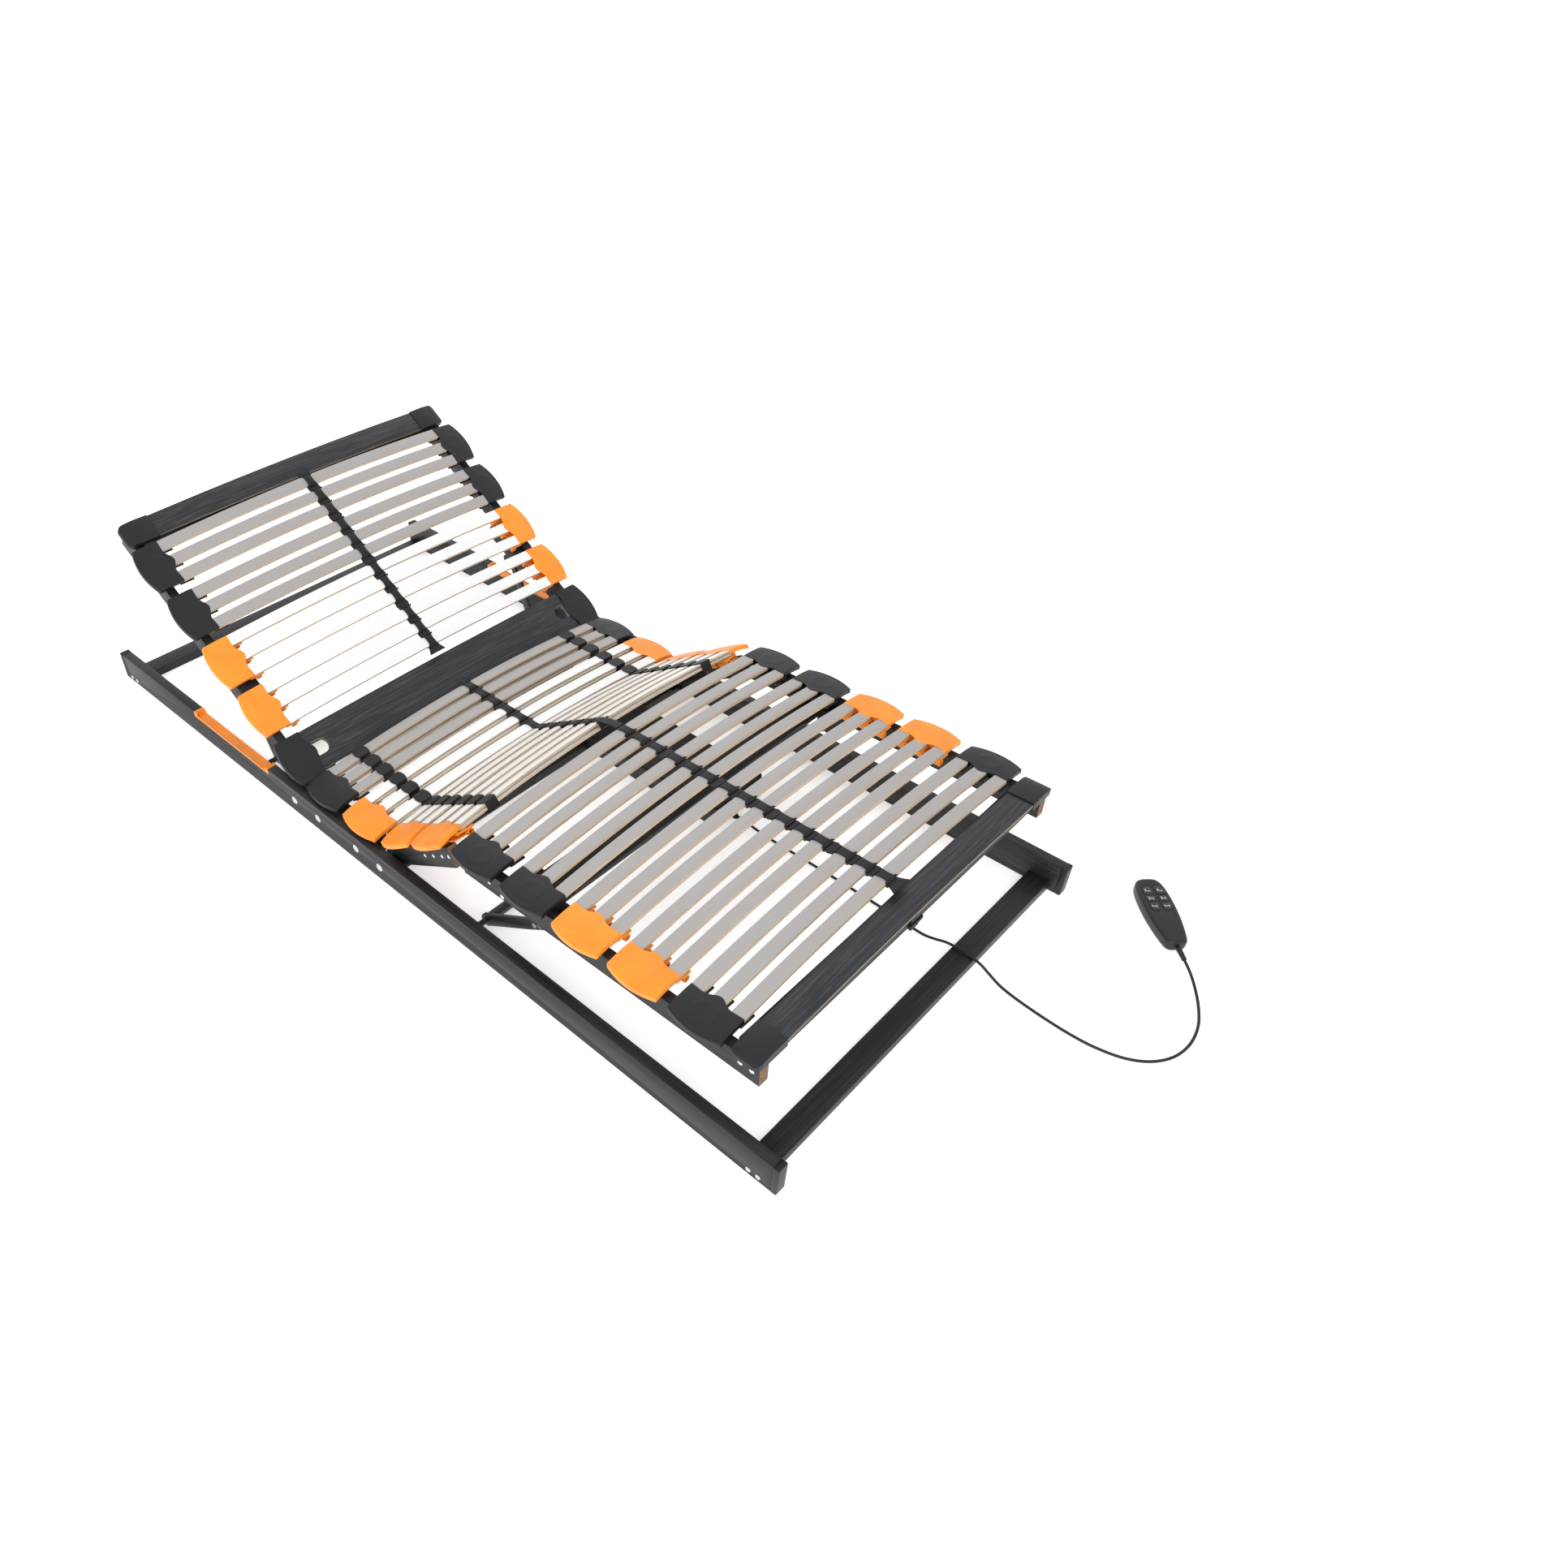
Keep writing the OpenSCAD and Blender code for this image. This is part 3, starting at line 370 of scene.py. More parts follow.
def make_materials():
    look = bpy.context.scene.bed_finish
    dark = tuple(look.anthracite)
    along_back = (0, math.cos(BACK_TILT), math.sin(BACK_TILT))
    along_thigh = (0, -math.cos(THIGH_TILT), math.sin(THIGH_TILT))
    along_calf = (0, -math.cos(CALF_TILT), math.sin(CALF_TILT))
    back_end = Vector(along_back).dot(HIP) + RAIL_ENDS["back"] - END_SKIN
    thigh_end = Vector(along_thigh).dot(THIGH) + RAIL_ENDS["thigh"] - END_SKIN
    calf_end = Vector(along_calf).dot(KNEE) + RAIL_ENDS["calf"] - END_SKIN
    MATERIALS.update({
        "rail": wood_foil("rail_foil", dark, 0, False),
        "beam": wood_foil("beam_foil", dark, 0, True),
        "board": wood_foil("board_foil", shade(dark, 1.9), 0, True),
        "back_rail": wood_foil("back_rail_foil", dark, BACK_TILT, False, (along_back, back_end)),
        "thigh_rail": wood_foil("thigh_rail_foil", dark, -THIGH_TILT, False,
                                (along_thigh, thigh_end)),
        "calf_rail": wood_foil("calf_rail_foil", dark, -CALF_TILT, False, (along_calf, calf_end)),
        "grey_slat": slat_foil("grey_slat_foil", tuple(look.grey)),
        "white_slat": slat_foil("white_slat_foil", tuple(look.white)),
        "edge": ply_edge("beech_edge"),
        "board_edge": ply_edge("board_end_grain", 0.32),
        "black": moulded("black_moulding", tuple(look.black)),
        "orange": moulded("orange_moulding", tuple(look.orange), 0.42, 700.0, 0.2),
        "strap": moulded("strap_rubber", (0.0045, 0.0045, 0.0052), 0.52, 500.0, 0.4),
        "steel": plated("zinc_plate"),
        "black_steel": coated_steel("black_coated_steel", (0.018, 0.018, 0.02)),
        "drive": moulded("drive_shell", (0.019, 0.019, 0.021), 0.5, 600.0, 0.6),
        "handset": moulded("handset_shell", (0.012, 0.012, 0.013), 0.44, 1500.0, 0.5),
        "button": moulded("button_gloss", (0.004, 0.004, 0.005), 0.16, 400.0, 0.02, 0.6),
        "print": moulded("button_print", (0.83, 0.84, 0.86), 0.5, 800.0, 0.05),
        "cable": moulded("cable_sheath", (0.010, 0.010, 0.011), 0.48, 1200.0, 0.3),
    })


# ---- modelling helpers

def alone(obj):
    """Makes the object the only one selected, and active"""
    bpy.ops.object.select_all(action="DESELECT")
    obj.select_set(True)
    bpy.context.view_layer.objects.active = obj


def to_mode(mode):
    bpy.ops.object.mode_set(mode=mode)


def face_out():
    """In edit mode, selects everything and turns the faces outwards"""
    bpy.ops.mesh.select_all(action="SELECT")
    bpy.ops.mesh.normals_make_consistent(inside=False)


def slat_spots(section, starts):
    """Place of every slat of the holders that start there"""
    return [SECTION[section] @ Matrix.Translation((0, start + row, 0))
            for start in starts for row in CAP_ROWS]


def eased(a, b, c, d, t):
    """Point at t between b and c on the smooth curve through the four"""
    return 0.5 * (2 * b + (c - a) * t + (2 * a - 5 * b + 4 * c - d) * t * t
                  + (3 * b - a - 3 * c + d) * t ** 3)


def settled(obj, name):
    """Applies the object's place to its mesh and names both"""
    alone(obj)
    bpy.ops.object.transform_apply(location=True, rotation=True, scale=True)
    obj.name = name
    obj.data.name = name
    return obj


def use_modifier(obj, kind, **settings):
    bpy.context.view_layer.objects.active = obj
    modifier = obj.modifiers.new(kind.lower(), kind)
    for key, value in settings.items():
        setattr(modifier, key, value)
    bpy.ops.object.modifier_apply(modifier=modifier.name)


def soften(obj, width, segments=2, angle=38):
    use_modifier(obj, "BEVEL", width=width, segments=segments, limit_method="ANGLE",
                 angle_limit=math.radians(angle), harden_normals=False, miter_outer="MITER_ARC")


def smooth(obj, angle=35):
    alone(obj)
    bpy.ops.object.shade_smooth_by_angle(angle=math.radians(angle))


def block(name, low, high, soft=0.0008, segments=2):
    """Rounded block between two corners"""
    low, high = Vector(low), Vector(high)
    bpy.ops.mesh.primitive_cube_add(size=1, location=(low + high) / 2, scale=high - low)
    obj = settled(bpy.context.object, name)
    soften(obj, soft, segments)
    return obj


def rod(name, start, end, radius, sides=24, soft=0.0006):
    start, end = Vector(start), Vector(end)
    bpy.ops.mesh.primitive_cylinder_add(vertices=sides, radius=radius, depth=(end - start).length,
                                        location=(start + end) / 2)
    obj = bpy.context.object
    obj.rotation_mode = "QUATERNION"
    obj.rotation_quaternion = (end - start).to_track_quat("Z", "Y")
    settled(obj, name)
    soften(obj, soft, 2, 50)
    return obj


def pick(obj, test, mode="FACE"):
    """In edit mode, selects faces by test(centre, normal) or edges by test(one end, other end)"""
    bpy.ops.mesh.select_mode(type=mode)
    bpy.ops.mesh.select_all(action="DESELECT")
    shape = bmesh.from_edit_mesh(obj.data)
    if mode == "FACE":
        for face in shape.faces:
            face.select_set(test(face.calc_center_median(), face.normal))
    else:
        for edge in shape.edges:
            edge.select_set(test(edge.verts[0].co, edge.verts[1].co))
    shape.select_flush_mode()
    bmesh.update_edit_mesh(obj.data)


def copies(template, name, matrices, keep=False):
    """One object made of a copy of the template at each matrix"""
    made = []
    for matrix in matrices:
        mesh = template.data.copy()
        mesh.transform(matrix)
        copy = bpy.data.objects.new(name, mesh)
        bpy.context.scene.collection.objects.link(copy)
        made.append(copy)
    if not keep:
        bpy.data.objects.remove(template)
    return joined(made, name)


def joined(parts, name):
    bpy.ops.object.select_all(action="DESELECT")
    for part in parts:
        part.select_set(True)
    bpy.context.view_layer.objects.active = parts[0]
    if len(parts) > 1:
        bpy.ops.object.join()
    obj = bpy.context.view_layer.objects.active
    obj.name = name
    obj.data.name = name
    return obj


def finished(obj, body, slot, material, *nodes, angle=35):
    """Gives the piece its finish and body, and hides the CAD nodes it stands for"""
    if material:
        obj.data.materials.clear()
        obj.data.materials.append(MATERIALS[material])
    if angle:
        smooth(obj, angle)
    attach(obj, body)
    if nodes:
        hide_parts(*nodes)
    return obj


def reshape(obj, rule):
    """Moves every vertex to rule(its place)"""
    for vert in obj.data.vertices:
        vert.co = rule(vert.co)


def softened_node(node, name, width, segments=2, angle=38):
    """A copy of a CAD node's mesh with clean faces and rounded edges"""
    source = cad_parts[node]
    obj = bpy.data.objects.new(name, source.data.copy())
    bpy.context.scene.collection.objects.link(obj)
    alone(obj)
    to_mode("EDIT")
    bpy.ops.mesh.select_all(action="SELECT")
    bpy.ops.mesh.remove_doubles(threshold=0.00001)
    bpy.ops.mesh.dissolve_limited(angle_limit=math.radians(0.6))
    to_mode("OBJECT")
    obj.data.name = name
    soften(obj, width, segments, angle)
    return obj


def refined(node, suffix, body, slot, material, width, segments=2, angle=38):
    """A CAD node with rounded edges, in its finish"""
    return finished(softened_node(node, node + suffix, width, segments, angle), body, slot,
                    material, node)


def arc_strip(name, half, wide, thick, rise, low, corner, soft, tuck=0.0):
    """Strip bent up in the middle along a large arc, its rounded ends reaching tuck further"""
    big = (half * half + rise * rise) / (2 * rise)
    turn = math.asin((half + tuck) / (big + thick))
    centre = Vector((0, 0, low + rise - big))
    middle = Matrix.Rotation(-turn, 4, "Y") @ Vector((0, 0, big + thick / 2))
    bpy.ops.mesh.primitive_plane_add(size=1, location=centre + middle,
                                     rotation=(0, math.pi / 2 - turn, 0))
    obj = bpy.context.object
    obj.scale = (thick, wide, 1)
    settled(obj, name)
    to_mode("EDIT")
    bpy.ops.mesh.select_all(action="SELECT")
    bpy.ops.mesh.spin(steps=30, angle=2 * turn, center=centre, axis=(0, -1, 0))
    bpy.ops.mesh.select_all(action="SELECT")
    bpy.ops.mesh.remove_doubles(threshold=0.00001)
    face_out()
    end = half + tuck - 0.004
    pick(obj, lambda a, b: abs(a.x) > end and abs(b.x) > end and abs(a.y - b.y) < 0.0005, "EDGE")
    bpy.ops.mesh.bevel(offset=corner, segments=5, affect="EDGES")
    to_mode("OBJECT")
    soften(obj, soft, 2, 40)
    return obj


def foil_and_edge(obj, foil, edge="edge"):
    """Foil on the broad faces, bare layered edge on the rest"""
    obj.data.materials.clear()
    obj.data.materials.append(MATERIALS[foil])
    obj.data.materials.append(MATERIALS[edge])
    for face in obj.data.polygons:
        face.material_index = 0 if abs(face.normal.z) > 0.80 else 1


# ---- stage

class BED_OT_stage(bpy.types.Operator):
    """Floor, light and camera"""
    bl_idname = "bed.stage"
    bl_label = "Stage"

    def execute(self, context):
        scene = context.scene
        scene.view_settings.view_transform = "Standard"
        cam = bpy.data.cameras.new("camera")
        cam.sensor_width = 36
        cam.lens = EYE_LENS
        cam.shift_x, cam.shift_y = EYE_SHIFT
        cam.clip_start = 0.05
        eye = bpy.data.objects.new("camera", cam)
        az, el, roll = (math.radians(turn) for turn in EYE_TURN)
        back = Vector((math.sin(az) * math.cos(el), -math.cos(az) * math.cos(el), math.sin(el)))
        side = Vector((math.cos(az), math.sin(az), 0))
        up = back.cross(side)
        right = math.cos(roll) * side + math.sin(roll) * up
        top = math.cos(roll) * up - math.sin(roll) * side
        eye.matrix_world = Matrix.Translation(EYE_AT) @ Matrix(
            (right, top, back)).transposed().to_4x4()
        scene.collection.objects.link(eye)
        scene.camera = eye

        bpy.ops.mesh.primitive_plane_add(size=60, location=(0, 0, -0.0005))
        floor = settled(context.object, "floor")
        pale = Finish("pale_floor")
        mottle = pale.noise(pale.place, 1.5, 2.0)
        pale.set(Base_Color=pale.ramp(mottle, (0.2, (0.90, 0.90, 0.90)), (0.8, (0.92, 0.92, 0.92))),
                 Roughness=0.9, Emission_Color=(1, 1, 1, 1), Emission_Strength=0.5)
        floor.data.materials.append(pale.material)

        world = bpy.data.worlds.new("soft_white")
        world.use_nodes = True
        sky = world.node_tree.nodes["Background"]
        sky.inputs[0].default_value = (1, 1, 1, 1)
        sky.inputs[1].default_value = 0.95
        scene.world = world
        for name, spot, size, power in LIGHTS:
            lamp = bpy.data.lights.new(name, "AREA")
            lamp.size = size
            lamp.energy = power
            holder = bpy.data.objects.new(name, lamp)
            holder.location = spot
            aim = Vector((0, -0.1, 0.1)) - Vector(spot)
            holder.rotation_euler = aim.to_track_quat("-Z", "Y").to_euler()
            scene.collection.objects.link(holder)
        return {"FINISHED"}


def cord_line():
    """The smooth line through the cable's route, as the part sweeps it"""
    points = [Vector(p) * MM for p in CORD_ROUTE]

    def at(k):
        return points[max(0, min(len(points) - 1, k))]

    line = []
    for k in range(len(points) - 1):
        a, b, c, d = at(k - 1), at(k), at(k + 1), at(k + 2)
        for t in (0, 0.25, 0.5, 0.75):
            line.append(eased(a, b, c, d, t))
    line.append(points[-1])
    return line


class BED_OT_cable(bpy.types.Operator):
    """Handset cable from its strain relief to the drive's socket, with its plug"""
    bl_idname = "bed.cable"
    bl_label = "Handset cable"

    def execute(self, context):
        line = cord_line()
        curve = bpy.data.curves.new("handset_cable_sheath", "CURVE")
        curve.dimensions = "3D"
        curve.bevel_depth = CORD_WIDE / 2
        curve.bevel_resolution = 4
        curve.use_fill_caps = True
        spline = curve.splines.new("POLY")
        spline.points.add(len(line) - 1)
        for point, place in zip(spline.points, line):
            point.co = (*place, 1)
        cable = bpy.data.objects.new("handset_cable_sheath", curve)
        context.scene.collection.objects.link(cable)
        curve.materials.append(MATERIALS["cable"])
        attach(cable, "base")
        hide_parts("handset_cable")
        relief = self.relief()
        plug = self.plug()
        length = sum((b - a).length for a, b in zip(line, line[1:]))
        return {"FINISHED"}

    def relief(self):
        """Ribbed sleeve: three waisted segments"""
        bpy.ops.mesh.primitive_cylinder_add(vertices=32, radius=0.0050, depth=0.0028,
                                            location=(0, 0, 0.0014))
        parts = [settled(bpy.context.object, "collar")]
        for k in range(3):
            wide = 0.0049 - 0.0002 * k
            bpy.ops.mesh.primitive_cylinder_add(vertices=32, radius=wide, depth=0.0070,
                                                location=(0, 0, 0.0029 + 0.0094 * k + 0.0057))
            seg = settled(bpy.context.object, "rib")
            to_mode("EDIT")
            pick(seg, lambda c, n: abs(n.z) > 0.9)
            bpy.ops.mesh.inset(thickness=0.0013)
            pick(seg, lambda c, n: abs(n.z) > 0.9 and c.xy.length < 0.0002)
            bpy.ops.mesh.extrude_faces_move(TRANSFORM_OT_shrink_fatten={"value": 0.0013})
            to_mode("OBJECT")
            parts.append(seg)
        sleeve = joined(parts, "relief_sleeve")
        soften(sleeve, 0.0005, 3, 40)
        place = HAND_AT @ Matrix.Translation((0, -HAND_LONG / 2 + 0.0004, 0.013)) \
            @ Matrix.Rotation(math.radians(90), 4, "X")
        sleeve.data.transform(place)
        return finished(sleeve, "base", "handset_plastic", "handset", "strain_relief")

    def plug(self):
        """Round plug with a gripped collar"""
        parts = [rod("plug_body", (0, 0, 0.0118), (0, 0, 0.0280), 0.0064, 32, 0.0009),
                 rod("plug_pin", (0, 0, 0.0002), (0, 0, 0.0125), 0.0049, 24, 0.0004),
                 rod("plug_neck", (0, 0, 0.0278), (0, 0, 0.0378), 0.0040, 24, 0.0008)]
        for k in range(4):
            at = 0.0145 + 0.0028 * k
            parts.append(rod("plug_grip", (0, 0, at), (0, 0, at + 0.0014), 0.00649, 32, 0.0003))
        plug = joined(parts, "cable_plug")
        plug.data.transform(Matrix.Translation((0.165, -0.373, 0.009))
                            @ Matrix.Rotation(math.radians(90), 4, "X"))
        return finished(plug, "base", "cable_black", "cable", "handset_plug")


# ---- the frame's wood and steel

class BED_OT_rails(bpy.types.Operator):
    """Rails, beams and their end caps, with rounded edges and foil grain"""
    bl_idname = "bed.rails"
    bl_label = "Rails and beams"

    def execute(self, context):
        edge = context.scene.bed_shape.rail_edge
        for node, body, material in (
                ("base_rails", "base", "rail"), ("end_beams", "base", "beam"),
                ("middle_beam", "base", "beam"), ("seat_rails", "base", "rail"),
                ("back_rails", "back", "back_rail"), ("back_cross_rail", "back", "beam"),
                ("thigh_rails", "thigh", "thigh_rail"), ("calf_rails", "calf", "calf_rail"),
                ("calf_cross_rails", "calf", "beam")):
            refined(node, "_wood", body, "anthracite_wood", material, edge)
        refined("rail_end_caps", "_moulded", "base", "black_plastic", "black", 0.0022, 3)
        refined("trough_liners", "_moulded", "base", "orange_plastic", "orange", 0.0009, 3)
        return {"FINISHED"}


class BED_OT_boards(bpy.types.Operator):
    """Head board, foot board and hip board: bent boards with a bare long edge"""
    bl_idname = "bed.boards"
    bl_label = "Boards"

    def execute(self, context):
        edge = context.scene.bed_shape.slat_edge
        for name, section in (("head_board", "back"), ("foot_board", "calf")):
            board = arc_strip(name + "_bent", *BOARD, edge)
            foil_and_edge(board, "board", "board_edge")
            low = 0.0 if section == "back" else -0.001
            board.data.transform(SECTION[section] @ Matrix.Translation((0, BOARD_AT, low)))
            finished(board, section, "anthracite_wood", None, name)
        hip = softened_node("hip_board", "hip_board_bent", 0.0008, 2, 30)
        hip.data.transform(SECTION["back"].inverted())
        foil_and_edge(hip, "board", "board_edge")
        hip.data.transform(SECTION["back"])
        finished(hip, "back", "anthracite_wood", None, "hip_board")
        for node, body in (("head_board_caps", "back"), ("foot_board_caps", "calf")):
            caps = softened_node(node, node + "_moulded", 0.0026, 4, 25)
            caps.data.transform(SECTION[body].inverted())
            sole = min(vertex.co.z for vertex in caps.data.vertices) + CAP_SOLE
            for vertex in caps.data.vertices:
                if vertex.co.z < sole:
                    vertex.co.z += CAP_SOLE_RISE
            caps.data.transform(SECTION[body])
            finished(caps, body, "black_plastic", "black", node)
        return {"FINISHED"}


class BED_OT_slats(bpy.types.Operator):
    """Single and double slats with rounded ends, foil faces and bare edges"""
    bl_idname = "bed.slats"
    bl_label = "Slats"

    def execute(self, context):
        shape = context.scene.bed_shape
        for node, (section, foil, starts, twin) in SLAT_SETS.items():
            forms = [(TWIN_THICK, TWIN_LOWER_RISE, SLAT_LOW),
                     (TWIN_THICK, SLAT_RISE, SLAT_LOW + TWIN_THICK + TWIN_GAP)] if twin else [
                         (SLAT_THICK, SLAT_RISE, SLAT_LOW)]
            spots = slat_spots(section, starts)
            layers = []
            for thick, rise, low in forms:
                slat = arc_strip("slat", SLAT_HALF, SLAT_WIDE, thick, rise, low,
                                 shape.slat_corner, shape.slat_edge, SLAT_TUCK)
                foil_and_edge(slat, foil)
                layers.append(copies(slat, node + "_layer", spots))
            finished(joined(layers, node + "_bent"), section, foil, None, node)
        return {"FINISHED"}


# ---- slat holders

def cap_inner_edge(s):
    """Wavy inner edge of a holder: a lobe over the middle slat"""
    return 0.3705 - 0.0125 * math.exp(-((s - 0.052) / 0.017) ** 2) + 0.0035 * math.exp(
        -((s - 0.052) / 0.038) ** 4)


def hip_inner_edge(s):
    return 0.3690 - 0.0110 * math.exp(-((s - 0.050) / 0.020) ** 2)


def cap_plate(name, inner_edge, lift):
    """Domed plate with an arched outer edge, turned-down rim and a raised round field"""
    across, along = 20, 34
    bpy.ops.mesh.primitive_grid_add(x_subdivisions=across, y_subdivisions=along, size=1,
                                    location=(0.5, 0.5, 0))
    obj = settled(bpy.context.object, name)

    def rule(p):
        s = p.y * CAP_LONG
        inner = inner_edge(s)
        outer = CAP_REACH - (s - CAP_MID) ** 2 / (2 * CAP_ARC)
        x = inner + (outer - inner) * p.x
        z = CAP_TOP + lift * (1 - p.x ** 1.7) - 0.0022 * p.x ** 2.5 - 0.0008 * (2 * p.y - 1) ** 4
        d = math.hypot(x - FIELD_X, s - CAP_MID) / FIELD_R
        z -= 0.0007 * max(0.0, min(1.0, (d - 0.94) * 9))
        return Vector((x, s, z))

    reshape(obj, rule)
    to_mode("EDIT")

    def on_rim(a, b):
        limit = 0.0006
        outer = all(abs(v.x - CAP_REACH + (v.y - CAP_MID) ** 2 / (2 * CAP_ARC)) < limit
                    for v in (a, b))
        start = all(v.y < limit for v in (a, b))
        end = all(v.y > CAP_LONG - limit for v in (a, b))
        return outer or start or end

    pick(obj, on_rim, "EDGE")
    bpy.ops.mesh.extrude_region_move(TRANSFORM_OT_translate={"value": (0, 0, -0.0095)})
    face_out()
    to_mode("OBJECT")
    top = max(obj.data.polygons, key=lambda face: face.center.z)
    use_modifier(obj, "SOLIDIFY", thickness=0.0018, offset=-1 if top.normal.z > 0 else 1,
                 use_even_offset=True)
    soften(obj, 0.0008, 3, 50)
    return obj


def cap_underside(colour):
    """Pockets under the slat ends, neck on the rail, and sprung tubes on the soft ones"""
    parts = [block("neck", (0.391, 0.027, 0.0325), (0.409, 0.077, 0.0475), 0.0015, 3),
             block("web", (0.3790, 0.004, 0.0400), (0.3830, 0.100, 0.0500), 0.0008)]
    for row in CAP_ROWS:
        parts.append(block("tongue", (0.347, row - 0.0138, 0.0420), (0.380, row + 0.0138, 0.0458),
                           0.0011, 3))
    if colour == "orange":
        parts.append(block("saddle", (0.363, 0.006, 0.0333), (0.392, 0.098, 0.0362), 0.0010))
        for row in CAP_ROWS:
            parts.append(spring_tube(row))
    else:
        parts.append(block("saddle", (0.372, 0.030, 0.0366), (0.392, 0.074, 0.0428), 0.0012))
    return parts


def spring_tube(row):
    """Short open tube along the holder, with a rounded rim"""
    bpy.ops.mesh.primitive_cylinder_add(vertices=28, radius=0.0069, depth=0.029,
                                        location=(0.358, row, 0.036),
                                        rotation=(math.pi / 2, 0, 0))
    tube = settled(bpy.context.object, "tube")
    to_mode("EDIT")
    pick(tube, lambda c, n: abs(n.y) > 0.9)
    bpy.ops.mesh.inset(thickness=0.0027, use_individual=True)
    bpy.ops.mesh.bridge_edge_loops()
    face_out()
    to_mode("OBJECT")
    soften(tube, 0.0007, 2, 50)
    return tube


def both_sides_at(section, starts):
    """Places for a holder on both rails: the left one is turned round its own middle"""
    turn = Matrix.Translation((0, CAP_LONG / 2, 0)) @ TURNED @ Matrix.Translation(
        (0, -CAP_LONG / 2, 0))
    spots = []
    for start in starts:
        at = SECTION[section] @ Matrix.Translation((0, start, 0))
        spots += [at, at @ turn]
    return spots


class BED_OT_holders(bpy.types.Operator):
    """Black and orange slat holders and the hip holders"""
    bl_idname = "bed.holders"
    bl_label = "Slat holders"

    def execute(self, context):
        templates = {}
        for colour in ("black", "orange"):
            for lift in (CAP_LIFT, TWIN_CAP_LIFT):
                templates[colour, lift] = joined([cap_plate("plate", cap_inner_edge, lift)]
                                                 + cap_underside(colour), colour + "_holder")
        hip = joined([cap_plate("plate", hip_inner_edge, 0.002),
                      block("neck", (0.391, 0.027, 0.0325), (0.409, 0.077, 0.0475), 0.0015, 3),
                      block("shelf", (0.338, 0.012, 0.0342), (0.392, 0.020, 0.0396), 0.0010),
                      block("shelf", (0.338, 0.088, 0.0342), (0.392, 0.096, 0.0396), 0.0010),
                      block("web", (0.3735, 0.008, 0.0342), (0.3795, 0.100, 0.0480), 0.0008)],
                     "hip_holder")
        for node, (section, colour, starts) in HOLDERS.items():
            slot = "black_plastic" if colour == "black" else "orange_plastic"
            lift = TWIN_CAP_LIFT if section in ("base", "thigh") else CAP_LIFT
            group = copies(templates[colour, lift], node + "_moulded",
                           both_sides_at(section, starts), keep=True)
            if node == "back_caps_black":
                extra = copies(hip, "hip_caps", both_sides_at(section, (0.005,)))
                group = joined([group, extra], node + "_moulded")
            finished(group, section, slot, colour, node, angle=40)
        for template in templates.values():
            bpy.data.objects.remove(template)
        return {"FINISHED"}


# ---- straps and sliders

def strap_band(name, rows, top, start, end):
    """Band over the slats that dips and widens in the gaps, with hooked blocks under it"""
    steps = int((end - start) / 0.0022)
    bpy.ops.mesh.primitive_grid_add(x_subdivisions=4, y_subdivisions=steps, size=1)
    band = settled(bpy.context.object, name)

    def rule(p):
        s = start + (p.y + 0.5) * (end - start)
        near = min(abs(s - row) for row in rows)
        gap = max(0.0, min(1.0, (near - 0.0112) / 0.0030))
        wide = 0.0086 + 0.0016 * (near / 0.0125) ** 2 + 0.0026 * gap
        crown = 0.0008 * max(0.0, 1 - (near / 0.0125) ** 2)
        return Vector((p.x * 2 * wide, s, top + 0.0021 + crown - 0.0042 * gap))

    reshape(band, rule)
    top_face = max(band.data.polygons, key=lambda face: face.center.z)
    use_modifier(band, "SOLIDIFY", thickness=0.0020, offset=-1 if top_face.normal.z > 0 else 1)
    soften(band, 0.0006, 2, 50)
    parts = [band]
    low = SLAT_LOW + SLAT_RISE - 0.0026
    hook = joined([
        block("wall", (-HOOK_HALF, HOOK_IN, low), (HOOK_HALF, HOOK_OUT, top + 0.0010), 0.0007),
        block("sole", (-HOOK_HALF, -0.0125, low), (HOOK_HALF, HOOK_OUT, low + 0.0020), 0.0007),
        barb(1, top), barb(-1, top)], "hook")
    parts.append(copies(hook, "hooks", [Matrix.Translation((0, row, 0)) for row in rows]))
    wall = block("wall", (-HOOK_HALF, -HOOK_OUT, low), (HOOK_HALF, -HOOK_IN, top + 0.0010), 0.0007)
    parts.append(copies(wall, "walls", [Matrix.Translation((0, row, 0)) for row in rows
                                        if row - HOOK_OUT > start]))
    return joined(parts, name)


def barb(side, top):
    """Small pointed ear beside the band in the gap on the head side of a slat"""
    bpy.ops.mesh.primitive_cone_add(vertices=8, radius1=0.0026, radius2=0.0006, depth=0.0060,
                                    location=(side * 0.0142, 0.0136, top - 0.0002),
                                    rotation=(0, side * math.pi / 2, side * 0.5))
    ear = settled(bpy.context.object, "barb")
    soften(ear, 0.0003, 2, 30)
    return ear


